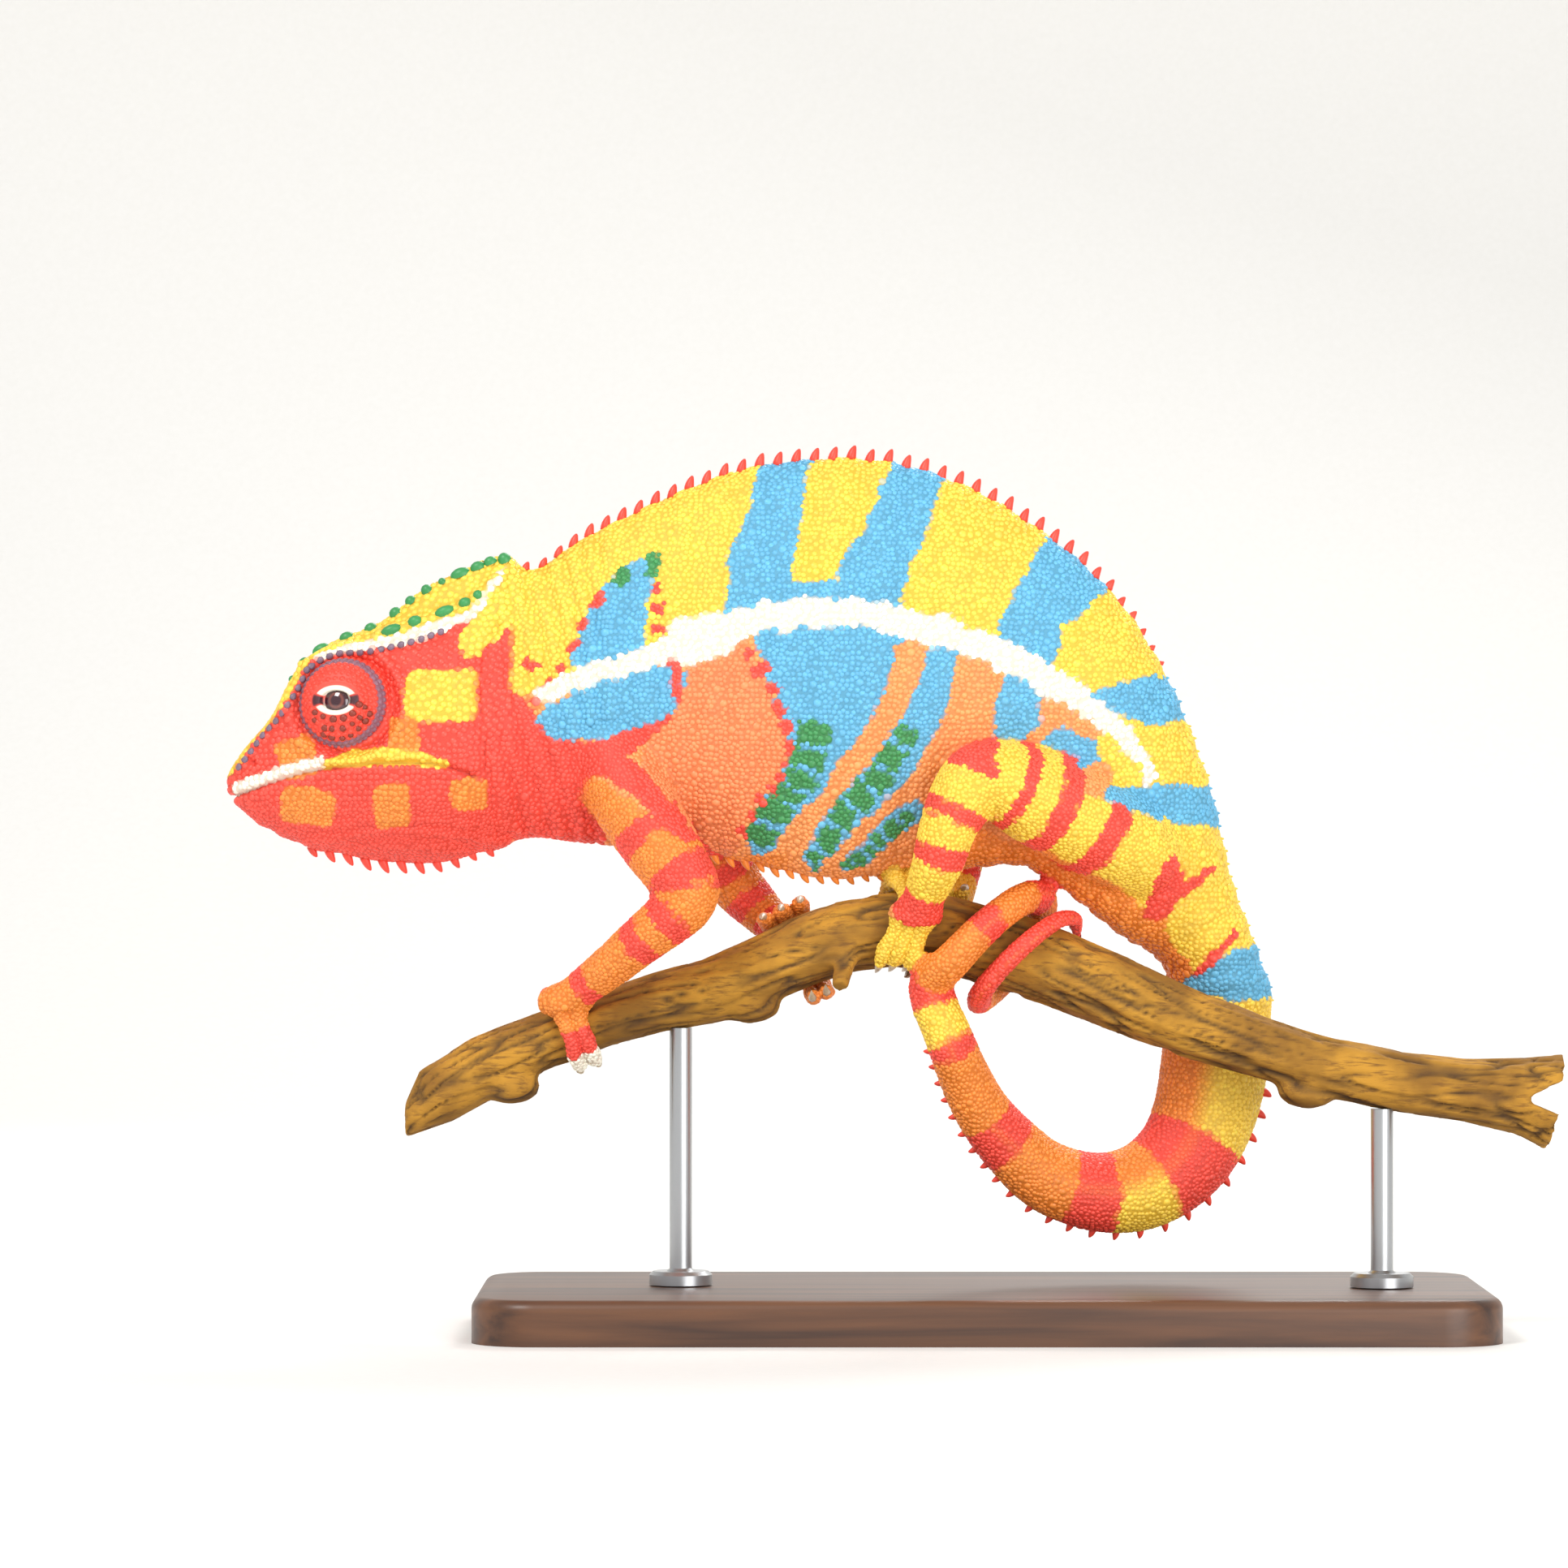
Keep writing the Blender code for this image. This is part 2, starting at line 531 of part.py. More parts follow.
def eye_turret(name, side, finish=None, grow=0.0):
    """A turned cone with a domed tip, one closed shape, looking out of the head."""
    profile = [(0.0, -0.55), (0.62, -0.48), (0.93, -0.15), (1.0, 0.12), (0.93, 0.42),
               (0.72, 0.70), (0.46, 0.86), (PUPIL_RADIUS / EYE_RADIUS, 0.93), (0.0, 1.0)]
    bm = bmesh.new()
    verts = []
    for across, along in profile:
        r = across * EYE_RADIUS + (grow if across else 0)
        z = along * (EYE_REACH if along > 0 else EYE_RADIUS) + math.copysign(grow, along)
        verts.append(bm.verts.new((r, 0, z)))
    edges = [bm.edges.new(pair) for pair in zip(verts, verts[1:])]
    bmesh.ops.spin(bm, geom=verts + edges, axis=(0, 0, 1), cent=(0, 0, 0),
                   angle=2 * math.pi, steps=14, use_merge=True)
    forward = math.radians(EYE_FORWARD_DEG)
    aim = Vector((-math.sin(forward), side * math.cos(forward), EYE_LIFT))
    turn = aim.to_track_quat("Z", "Y").to_matrix().to_4x4()
    bmesh.ops.transform(bm, matrix=turn, verts=bm.verts)
    centre = EYE_CENTRE.copy()
    centre.y *= side
    bmesh.ops.translate(bm, vec=centre, verts=bm.verts)
    return to_object(name, bm, finish)


def head_pieces():
    end = RIB_AT["casque_tip"] + 0.25
    warm = material("skin_warm", 0.55)
    head = body_length("head", 0, end, 13, warm)
    boolean(head, mouth_block("mouth_cut", GAP / 2), "DIFFERENCE")
    jaw = body_length("lower_jaw", 0, end, 13, warm)
    boolean(jaw, mouth_block("jaw_keep", -GAP / 2), "INTERSECT")
    throat = crest("gular_crest", RIB_AT["brow"] - 0.2, RIB_AT["casque_tip"] - 0.1,
                   lambda share: 1.6 + 2.0 * math.sin(math.pi * min(1, share + 0.15)), 0.25, edge=1)
    boolean(jaw, throat, "UNION")
    for side, word in ((-1, "left"), (1, "right")):
        boolean(head, eye_turret(f"socket_{word}", side, grow=GAP), "DIFFERENCE")
        boolean(jaw, eye_turret(f"jaw_socket_{word}", side, grow=GAP), "DIFFERENCE")
        eye_turret(f"eye_{word}", side, material("eye", 0.45))


# ---------------------------------------------------------------- trunk and tail
def back_spine_length(share):
    return 1.5 + 1.5 * math.sin(math.pi * share) ** 0.7


def trunk_pieces():
    yellow, blue = material("skin_yellow", 0.55), material("skin_blue", 0.55)
    head_end, neck_end = RIB_AT["casque_tip"] + 0.25, RIB_AT["shoulder"] + 0.25
    middle, rear_end = RIB_AT["midbody"] + 0.2, RIB_AT["rump"] + 0.6
    neck = body_length("neck", head_end, neck_end, 6, yellow)
    front = body_length("trunk_front", neck_end, middle, 8, blue)
    rear = body_length("trunk_rear", middle, rear_end, 9, blue)
    body_length("tail_root", rear_end, len(RIBS) - 1, 8, yellow)
    crests = ((neck, head_end + 0.2, neck_end - 0.02), (front, neck_end + 0.02, middle - 0.02),
              (rear, middle + 0.02, RIB_AT["rump"] - 0.1))
    for piece, start, end in crests:
        crest_start, crest_end = head_end, RIB_AT["rump"]

        def length(share, a=start, b=end):
            at = a + (b - a) * share
            return back_spine_length((at - crest_start) / (crest_end - crest_start))

        boolean(piece, crest(f"{piece.name}_crest", start, end, length, 0.35), "UNION")
    belly = crest("belly_crest", RIB_AT["withers"], middle - 0.1, lambda share: BELLY_SPINE, 0.2, edge=1)
    boolean(front, belly, "UNION")


def tail_stations():
    stations = list(TAIL_FREE)
    for x, degrees, radius in TAIL_WRAP:
        point = round_branch(x, degrees, radius * TAIL_FLATNESS * MM + 2 * GAP) / MM
        stations.append((*point, radius))
    return stations


def tail_spines(name, stations, start, end):
    """Small spines along the outer edge of the tail's loop."""
    bm = bmesh.new()
    trail, walked, next_at = None, 0.0, CREST_SPACING / 2
    for a in steps(start, end, 160):
        x, y, z, r = spline(stations, a)
        here = Vector((x, y, z)) * MM
        if trail is not None:
            walked += (here - trail).length
            along = (here - trail).normalized()
            out = here - TAIL_LOOP_CENTRE
            out = out - along * out.dot(along)
            out.y *= 0.2
            out.normalize()
            if walked >= next_at:
                next_at += CREST_SPACING
                edge = here + out * r * MM
                tip = edge + (out + along * 0.3).normalized() * TAIL_SPINE
                spine(bm, edge - out * SPINE_ROOT, tip, 1.3 * MM)
        trail = here
    return to_object(name, bm)


def tail_pieces(trunk_grown, branch_grown):
    stations = tail_stations()
    orange = material("skin_orange", 0.55)
    for name, (start, end, rings) in TAIL_CUTS.items():
        piece = tube(name, stations, start, end, rings, TAIL_SIDES, orange,
                     TAIL_FLATNESS, trim=(True, name != "tail_tip"))
        if name in ("tail_upper", "tail_bend", "tail_front"):
            spines = tail_spines(f"{name}_crest", stations, start + 0.15, end - 0.15)
            boolean(piece, spines, "UNION")
        else:
            boolean(piece, branch_grown, "DIFFERENCE")
        if name == "tail_upper":
            boolean(piece, trunk_grown, "DIFFERENCE")


# ---------------------------------------------------------------- stand
def stand(branch_grown):
    wood, metal = material("base_wood", 0.35), material("rod_metal", 0.3, 1.0)
    bm = bmesh.new()
    bmesh.ops.create_cube(bm, size=1.0)
    bmesh.ops.scale(bm, vec=(BASE_LENGTH, BASE_WIDTH, BASE_THICKNESS), verts=bm.verts)
    bmesh.ops.translate(bm, vec=(BASE_CENTRE_X, 0, BASE_THICKNESS / 2), verts=bm.verts)
    corners = [e for e in bm.edges if abs(e.verts[0].co.z - e.verts[1].co.z) > BASE_THICKNESS / 2]
    bmesh.ops.bevel(bm, geom=corners, offset=BASE_CORNER, segments=4, profile=0.5, affect="EDGES",
                    material=-1)
    top = [e for e in bm.edges if min(v.co.z for v in e.verts) > BASE_THICKNESS * 0.99]
    bmesh.ops.bevel(bm, geom=top, offset=BASE_EDGE, segments=2, profile=0.5, affect="EDGES", material=-1)
    to_object("stand_base", bm, wood)
    for word, x in (("front", ROD_FRONT_X), ("rear", ROD_REAR_X)):
        centre, radius = branch_at(x / MM)
        foot = BASE_THICKNESS + GAP
        top_z = centre.z - radius * ROD_SINK
        profile = [(0, foot), (ROD_FLANGE_RADIUS, foot), (ROD_FLANGE_RADIUS, foot + ROD_FLANGE_HEIGHT * 0.6),
                   (ROD_FLANGE_RADIUS * 0.75, foot + ROD_FLANGE_HEIGHT),
                   (ROD_RADIUS, foot + ROD_FLANGE_HEIGHT * 1.3), (ROD_RADIUS, top_z), (0, top_z)]
        bm = bmesh.new()
        verts = [bm.verts.new((r, 0, z)) for r, z in profile]
        edges = [bm.edges.new(pair) for pair in zip(verts, verts[1:])]
        bmesh.ops.spin(bm, geom=verts + edges, axis=(0, 0, 1), cent=(0, 0, 0),
                       angle=2 * math.pi, steps=12, use_merge=True)
        bmesh.ops.translate(bm, vec=(x, centre.y, 0), verts=bm.verts)
        boolean(to_object(f"stand_rod_{word}", bm, metal), branch_grown, "DIFFERENCE")


def main():
    clear_scene()
    branch = branch_piece(finish=material("bark", 0.85))
    boolean(branch, knots(), "UNION")
    boolean(branch, twig_stub(), "UNION")
    boolean(branch, slab("end_notch", END_NOTCH), "DIFFERENCE")
    head_pieces()
    trunk_pieces()
    trunk_grown = body_length("trunk_grown", RIB_AT["casque_tip"], len(RIBS) - 1, 40, grow=GAP)
    branch_grown = boolean(branch_piece(GAP, "branch_grown"), knots(GAP), "UNION")
    tail_pieces(trunk_grown, branch_grown)
    for limb in LIMBS:
        finish = material("skin_orange" if "front" in limb.name else "skin_yellow", 0.55)
        limb_pieces(limb, trunk_grown, branch_grown, finish)
    stand(branch_grown)


main()
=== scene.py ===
# A panther chameleon on its perch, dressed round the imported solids.
import json
import math

import bmesh
import bpy
import numpy as np
from mathutils import Matrix, Vector, noise
from mathutils.bvhtree import BVHTree
from mathutils.kdtree import KDTree

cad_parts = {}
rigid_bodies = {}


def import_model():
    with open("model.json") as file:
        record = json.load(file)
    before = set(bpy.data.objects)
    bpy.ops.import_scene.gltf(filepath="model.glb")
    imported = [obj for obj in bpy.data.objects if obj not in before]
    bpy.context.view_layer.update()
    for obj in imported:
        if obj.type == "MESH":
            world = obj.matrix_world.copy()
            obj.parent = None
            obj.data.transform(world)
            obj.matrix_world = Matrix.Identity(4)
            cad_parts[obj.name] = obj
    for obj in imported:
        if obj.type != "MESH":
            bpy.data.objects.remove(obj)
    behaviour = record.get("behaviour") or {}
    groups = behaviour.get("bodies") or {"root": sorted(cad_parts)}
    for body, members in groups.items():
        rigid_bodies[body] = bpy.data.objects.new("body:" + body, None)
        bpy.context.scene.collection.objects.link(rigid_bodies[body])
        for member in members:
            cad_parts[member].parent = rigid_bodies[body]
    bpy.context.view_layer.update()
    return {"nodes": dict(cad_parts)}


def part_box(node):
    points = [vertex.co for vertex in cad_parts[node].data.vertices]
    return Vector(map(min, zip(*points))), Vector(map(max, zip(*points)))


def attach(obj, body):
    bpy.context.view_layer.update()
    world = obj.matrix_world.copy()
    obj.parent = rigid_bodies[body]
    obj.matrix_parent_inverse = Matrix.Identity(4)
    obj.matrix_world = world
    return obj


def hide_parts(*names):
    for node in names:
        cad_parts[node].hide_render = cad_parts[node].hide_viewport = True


mm = 0.001
for thing in list(bpy.data.objects):
    bpy.data.objects.remove(thing)
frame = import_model()
print("frame loaded")


# colour and material helpers
def toLinear(hexCode):
    parts = [int(hexCode[i:i + 2], 16) / 255 for i in (1, 3, 5)]
    return tuple(c / 12.92 if c <= 0.04045 else ((c + 0.055) / 1.055) ** 2.4 for c in parts)


def rgba(hexCode):
    return (*toLinear(hexCode), 1)


def addNode(tree, kind, values=None, links=None, stops=None, **settings):
    # values and links by socket; stops of a colour ramp: place and hex code
    node = tree.nodes.new(kind)
    for name, value in settings.items():
        setattr(node, name, value)
    for name, value in (values or {}).items():
        node.inputs[name].default_value = value
    for name, socket in (links or {}).items():
        tree.links.new(socket, node.inputs[name])
    if stops:
        for element, (place, code) in zip(node.color_ramp.elements, stops):
            element.position = place
            element.color = rgba(code)
    return node


def newMaterial(name, values):
    material = bpy.data.materials.new(name)
    material.use_nodes = True
    shader = material.node_tree.nodes["Principled BSDF"]
    for socket, value in values.items():
        shader.inputs[socket].default_value = value
    return material, material.node_tree, shader


# mesh helpers
def ringLoft(bm, rings):
    # circles bridged into a closed tube
    loops = []
    for ring in rings:
        verts = bmesh.ops.create_circle(bm, segments=len(ring), radius=1)["verts"]
        for vert, place in zip(verts, ring):
            vert.co = place
        loops.append(list({edge for vert in verts for edge in vert.link_edges}))
    for one, two in zip(loops, loops[1:]):
        bmesh.ops.bridge_loops(bm, edges=one + two)
    for end in (loops[0], loops[-1]):
        bmesh.ops.contextual_create(bm, geom=end)


def asObject(name, bm, material=None):
    bmesh.ops.recalc_face_normals(bm, faces=bm.faces)
    mesh = bpy.data.meshes.new(name)
    bm.to_mesh(mesh)
    bm.free()
    mesh.shade_smooth()
    piece = bpy.data.objects.new(name, mesh)
    bpy.context.scene.collection.objects.link(piece)
    if material:
        mesh.materials.append(material)
    return piece


def relax(bm, verts):
    bmesh.ops.smooth_vert(bm, verts=verts, factor=0.5, use_axis_x=True, use_axis_y=True, use_axis_z=True)


def lathe(bm, profile, middle, steps):
    # a line of points turned round an upright axis
    verts = [bm.verts.new(point) for point in profile]
    edges = [bm.edges.new(pair) for pair in zip(verts, verts[1:])]
    bmesh.ops.spin(bm, geom=verts + edges, axis=(0, 0, 1), cent=middle, angle=2 * math.pi, steps=steps,
                   use_merge=True)
    bmesh.ops.remove_doubles(bm, verts=bm.verts, dist=0.001)


def inMetres(bm):
    bmesh.ops.scale(bm, vec=(mm, mm, mm), verts=bm.verts)


def voxelRemesh(source, size):
    # one closed skin round everything in the mesh
    modifier = source.modifiers.new("skin", "REMESH")
    modifier.mode = "VOXEL"
    modifier.voxel_size = size
    graph = bpy.context.evaluated_depsgraph_get()
    mesh = bpy.data.meshes.new_from_object(source.evaluated_get(graph))
    bpy.data.objects.remove(source)
    return mesh


def spline(rows, at):
    # Catmull-Rom through rows of numbers, at a place counted in rows
    rows = np.asarray(rows, float)
    last = len(rows) - 1
    at = np.clip(np.atleast_1d(np.asarray(at, float)), 0, last)
    i = np.minimum(at.astype(int), last - 1)
    f = (at - i)[:, None]
    a, b, c, d = (rows[np.clip(i + k, 0, last)] for k in (-1, 0, 1, 2))
    square, cube = 2 * a - 5 * b + 4 * c - d, 3 * b - a - 3 * c + d
    return 0.5 * (2 * b + (c - a) * f + square * f ** 2 + cube * f ** 3)


def smoothStep(low, high, value):
    t = np.clip((value - low) / (high - low), 0, 1)
    return t * t * (3 - 2 * t)


def carried(points, side):
    # side and up along a path, without twist
    last = len(points) - 1
    found = []
    for i in range(last + 1):
        tangent = (points[min(i + 1, last)] - points[max(i - 1, 0)]).normalized()
        side = (side - tangent * side.dot(tangent)).normalized()
        found.append((side, tangent.cross(side)))
    return found


def fullTurn(sides):
    return [2 * math.pi * k / sides for k in range(sides)]


def tubeRings(points, radii, sides, flatness=1.0, along=Vector((0, 1, 0))):
    rings = []
    for point, radius, (side, up) in zip(points, radii, carried(points, along)):
        rings.append([point + side * (radius * flatness * math.cos(t)) + up * (radius * math.sin(t))
                      for t in fullTurn(sides)])
    return rings


# the animal's measures, in millimetres
ribs = {  # top X Z, low X Z, half width, height of the widest level, roof power, keel power, shift in Y
    "snoutTip": (-148.2, 122.6, -146.0, 117.0, 2.8, 0.50, 2.4, 2.2, 0),
    "nostril": (-144.0, 129.0, -141.2, 112.6, 6.2, 0.52, 3.0, 2.1, 0),
    "canthus": (-137.7, 136.4, -134.1, 108.9, 9.2, 0.48, 3.2, 2.0, 0),
    "brow": (-131.8, 147.4, -127.4, 106.4, 11.6, 0.46, 2.9, 2.0, 0),
    "eye": (-124.4, 153.0, -118.8, 104.9, 13.2, 0.44, 2.4, 1.9, 0),
    "cheek": (-113.6, 157.6, -109.8, 103.7, 15.4, 0.38, 1.7, 1.8, 0),
    "casque": (-102.6, 166.0, -99.4, 104.0, 15.6, 0.36, 1.35, 1.8, 0),
    "casqueTip": (-86.6, 172.5, -87.8, 106.6, 14.4, 0.38, 1.35, 1.8, 0),
    "nape": (-79.8, 169.2, -80.1, 109.1, 13.2, 0.44, 1.6, 1.8, 0),
    "shoulder": (-67.5, 176.8, -68.0, 107.8, 13.8, 0.42, 1.7, 1.8, 0),
    "withers": (-50.0, 185.4, -51.3, 106.6, 14.8, 0.40, 1.7, 1.8, 0),
    "chest": (-30.6, 192.2, -35.1, 104.2, 15.6, 0.40, 1.7, 1.8, 0),
    "midbody": (-7.2, 194.0, -16.2, 100.3, 15.6, 0.41, 1.7, 1.8, 0),
    "loin": (14.0, 188.8, 1.8, 101.2, 14.8, 0.43, 1.7, 1.8, 0),
    "flank": (33.5, 177.7, 16.2, 102.4, 13.6, 0.45, 1.7, 1.9, 0),
    "rump": (50.8, 161.8, 29.2, 102.8, 12.6, 0.47, 1.8, 1.9, 0.4),
    "hip": (62.6, 142.4, 40.0, 95.8, 11.8, 0.49, 1.9, 1.9, 2.4),
    "vent": (70.6, 122.0, 50.4, 87.4, 11.2, 0.50, 2.0, 2.0, 6.6),
    "tailRoot": (75.8, 101.2, 58.2, 82.8, 10.7, 0.50, 2.0, 2.0, 12.0),
    "tailMid": (82.1, 84.8, 61.4, 77.6, 10.4, 0.50, 2.0, 2.0, 15.6),
    "tailStart": (85.7, 72.0, 61.1, 71.2, 10.2, 0.50, 2.0, 2.0, 17.8),
}
ribRows = list(ribs.values())
ribAt = {name: i for i, name in enumerate(ribs)}

branchRows = [  # X, Y, Z, radius
    (-108.5, 3.0, 46.4, 5.2), (-99.9, 3.0, 53.2, 7.4), (-86.0, 2.0, 60.7, 7.2), (-71.1, 0.5, 66.6, 6.8),
    (-56.2, 0.0, 72.0, 7.0), (-41.8, 0.0, 75.0, 7.5), (-30.6, 0.5, 79.2, 8.0), (-18.0, 0.5, 84.9, 8.4),
    (-6.8, 0.0, 88.3, 8.5), (5.4, -0.5, 88.9, 8.8), (19.4, -1.0, 86.2, 9.2), (34.2, -2.0, 81.3, 9.1),
    (50.8, -3.5, 74.3, 8.8), (68.8, -5.0, 67.1, 7.9), (85.1, -6.0, 61.8, 7.1), (104.4, -7.0, 56.6, 7.2),
    (122.4, -7.0, 54.2, 7.2), (136.8, -6.5, 52.6, 8.6), (146.24, -6.0, 51.0, 11.2),
]
tailFree = [  # X, Y, Z, half height
    (73.4, 17.8, 71.6, 12.1), (72.6, 18.2, 59.0, 12.3), (70.0, 18.0, 46.6, 11.8), (64.8, 15.6, 37.4, 11.0),
    (56.2, 12.4, 31.4, 10.1), (45.9, 9.2, 30.2, 9.2), (34.6, 6.0, 33.8, 8.4), (26.3, 2.6, 40.9, 7.6),
    (20.2, -1.4, 48.3, 6.9), (15.8, -5.6, 56.6, 6.4), (12.6, -9.6, 64.6, 6.0),
]
tailWrap = [  # X, degrees from the branch's top, half height
    (10.8, 147, 5.6), (14.6, 112, 5.1), (20.6, 68, 4.6), (25.9, 22, 4.3), (29.0, -22, 4.1), (29.6, -66, 3.9),
    (27.4, -112, 3.7), (24.0, -156, 3.5), (22.6, -200, 3.3), (24.6, -240, 3.1), (29.0, -284, 2.9),
    (33.4, -330, 2.6), (36.2, -372, 2.2), (37.6, -408, 1.5),
]
tailFlatness = 0.82
tailTop = 72.2  # above this Z the tail counts as body
coatDepth = 0.3  # the skin lies this far inside the solids, and the scales stand on it

limbs = {
    # path: X, distance from the middle, Z and radius of each station; palm: X and degrees round the branch;
    # bundles of toes: how many, degrees they reach round the branch, and how far they lean along it
    "frontLeft": dict(
        side=-1, wrist=4.5, palm=(-69.6, 52), outer=(2, 104, -0.5), inner=(3, -118, -2.0),
        path=[(-62.0, 7.0, 128.0, 9.0), (-56.5, 13.6, 116.0, 9.2), (-49.0, 18.8, 104.5, 8.2),
              (-45.0, 20.6, 96.6, 6.8), (-54.5, 18.2, 87.6, 5.7)]),
    "frontRight": dict(
        side=1, wrist=4.4, palm=(-20.6, -82), outer=(2, -116, 0.5), inner=(3, 72, 0.0),
        path=[(-60.0, 7.0, 126.0, 9.0), (-49.0, 14.6, 113.5, 8.6), (-38.0, 20.0, 102.5, 7.2),
              (-34.0, 21.2, 97.6, 6.2), (-28.0, 19.6, 91.4, 5.2)]),
    "rearLeft": dict(
        side=-1, wrist=4.9, palm=(5.3, 72), outer=(3, 58, -4.8), inner=(2, -122, -5.0),
        path=[(60.0, 1.0, 103.0, 7.6), (50.0, 6.2, 108.6, 10.6), (34.0, 13.8, 117.0, 10.8),
              (19.8, 18.8, 122.6, 8.6), (13.0, 20.6, 114.6, 7.0), (9.6, 19.6, 104.0, 5.9)]),
    "rearRight": dict(
        side=1, wrist=4.8, palm=(12.0, -86), outer=(3, -62, -4.0), inner=(2, 62, 0.0),
        path=[(60.0, 6.0, 103.0, 7.6), (50.0, 10.4, 108.0, 10.4), (35.0, 16.8, 116.0, 10.4),
              (22.0, 21.4, 121.6, 8.2), (17.4, 23.2, 112.0, 6.4), (15.0, 21.4, 102.0, 5.5)]),
}
foot = dict(toeRadius=2.4, toeSpread=3.7, toeTaper=0.22, palm=(6.8, 5.0, 4.6), palmHeight=3.6,
            wristDistance=6.4, clawLength=4.0, clawRadius=1.0)
eye = dict(centre=(-120.6, 7.8, 138.7), forwardDegrees=14, lift=0.12)


def branchAt(x):
    for i, (one, two) in enumerate(zip(branchRows, branchRows[1:])):
        if x <= two[0] or i == len(branchRows) - 2:
            row = spline(branchRows, i + (x - one[0]) / (two[0] - one[0]))[0]
            return Vector(row[:3]), row[3]


def roundBranch(x, degrees, above):
    # a point that far above the bark, 0 degrees on top and 90 on the animal's left
    centre, radius = branchAt(x)
    along = (branchAt(x + 1)[0] - branchAt(x - 1)[0]).normalized()
    up = (Vector((0, 0, 1)) - along * along.z).normalized()
    left = along.cross(up)
    if left.y > 0:
        left = -left
    turn = math.radians(degrees)
    return centre + (up * math.cos(turn) + left * math.sin(turn)) * (radius + above)


def ribRing(at, sides, grow):
    topX, topZ, lowX, lowZ, width, level, roof, keel, shift = spline(ribRows, at)[0]
    low = Vector((lowX, shift, lowZ))
    rise = Vector((topX, shift, topZ)) - low
    height, up = rise.length, rise.normalized()
    ring = []
    for turn in fullTurn(sides):
        c, s = math.cos(turn), math.sin(turn)
        power = roof if s >= 0 else keel
        reach = (height * (1 - level) if s >= 0 else height * level) + grow
        across = math.copysign(abs(c) ** (2 / power), c) * (width + grow)
        climb = height * level + math.copysign(abs(s) ** (2 / power), s) * reach
        ring.append(low + up * climb + Vector((0, across, 0)))
    return ring


tailRows = list(tailFree)
for x, degrees, radius in tailWrap:
    tailRows.append((*roundBranch(x, degrees, radius * tailFlatness + 0.6), radius))
tailCount = len(tailRows) - 1


def toePath(limb, bundle, offset, count):
    _, reach, lean = limb[bundle]
    points = []
    for share in np.linspace(0, 1, count):
        x = limb["palm"][0] + lean * share + offset * min(1.0, 0.35 + share)
        lift = foot["toeRadius"] * (1 - foot["toeTaper"] * share) + 0.3
        points.append(roundBranch(x, limb["palm"][1] + reach * share, lift))
    return points


def toesOf(limb, count=9):
    # the middle line of each toe of a foot
    for bundle in ("outer", "inner"):
        toes = limb[bundle][0]
        for k in range(toes):
            yield toePath(limb, bundle, (k - (toes - 1) / 2) * foot["toeSpread"], count)


def limbRows(limb):
    rows = [(x, limb["side"] * y, z, r) for x, y, z, r in limb["path"]]
    palm = roundBranch(*limb["palm"], foot["palmHeight"])
    towards = (Vector(rows[-1][:3]) - palm).normalized()
    wrist = palm + towards * foot["wristDistance"]
    return rows + [(*wrist, limb["wrist"]), (*palm, foot["palm"][1] * 0.9)]


# the skin: every length of flesh joined and skinned over in one
def fleshSource():
    bm = bmesh.new()
    bodyAt = np.concatenate([np.linspace(0, 0.35, 6), np.linspace(0.5, len(ribRows) - 1, 150)])
    bodyRings = [ribRing(at, 56, -coatDepth) for at in bodyAt]
    middle = sum(bodyRings[0], Vector()) / len(bodyRings[0])
    bodyRings[0] = [point + (middle - point) * 0.45 for point in bodyRings[0]]  # blunt snout tip
    ringLoft(bm, bodyRings)
    rows = spline(tailRows, np.linspace(0, tailCount, 260))
    points = [Vector(r[:3]) for r in rows]
    start = points[0] - (points[1] - points[0]).normalized() * 6  # runs back into the body
    radii = [r[3] - coatDepth for r in rows]
    ringLoft(bm, tubeRings([start] + points, [radii[0] * 0.98] + radii, 28, tailFlatness))
    for limb in limbs.values():
        rows = spline(limbRows(limb), np.linspace(0, len(limb["path"]) + 1, 48))
        ringLoft(bm, tubeRings([Vector(r[:3]) for r in rows], [r[3] - coatDepth for r in rows], 24))
        palm = bmesh.ops.create_uvsphere(bm, u_segments=24, v_segments=16, radius=1)["verts"]
        bmesh.ops.scale(bm, vec=[size - coatDepth for size in foot["palm"]], verts=palm)
        bmesh.ops.translate(bm, vec=roundBranch(*limb["palm"], foot["palmHeight"]), verts=palm)
        for path in toesOf(limb):
            ahead = (path[-1] - path[-2]).normalized()
            path += [path[-1] + ahead * 0.9, path[-1] + ahead * 1.5]
            shares = np.linspace(0, 1, len(path))
            radii = [foot["toeRadius"] * (1 - foot["toeTaper"] * s) - 0.25 for s in shares]
            radii[-2] *= 0.8  # a round toe tip
            radii[-1] *= 0.45
            ringLoft(bm, tubeRings(path, radii, 14))
    inMetres(bm)
    return asObject("fleshSource", bm)


skinVoxel = 1.16
bm = bmesh.new()
bm.from_mesh(voxelRemesh(fleshSource(), skinVoxel * mm))
for _ in range(2):
    relax(bm, bm.verts)
feet = [(limb["palm"][0], *branchAt(limb["palm"][0])) for limb in limbs.values()]


def fineSkin(point):
    # head and feet carry the smallest forms
    gripping = (abs(point.x - x) < 9.5 and (point - centre).length < radius + 8 for x, centre, radius in feet)
    return point.x < -93 or any(gripping)


fineFaces = [face for face in bm.faces if fineSkin(face.calc_center_median() / mm)]
fineEdges = list({edge for face in fineFaces for edge in face.edges})
bmesh.ops.subdivide_edges(bm, edges=fineEdges, cuts=1, use_grid_fill=True)
for _ in range(2):
    relax(bm, [vert for vert in bm.verts if fineSkin(vert.co / mm)])
bm.normal_update()
print("skin joined:", len(bm.verts), "vertices")


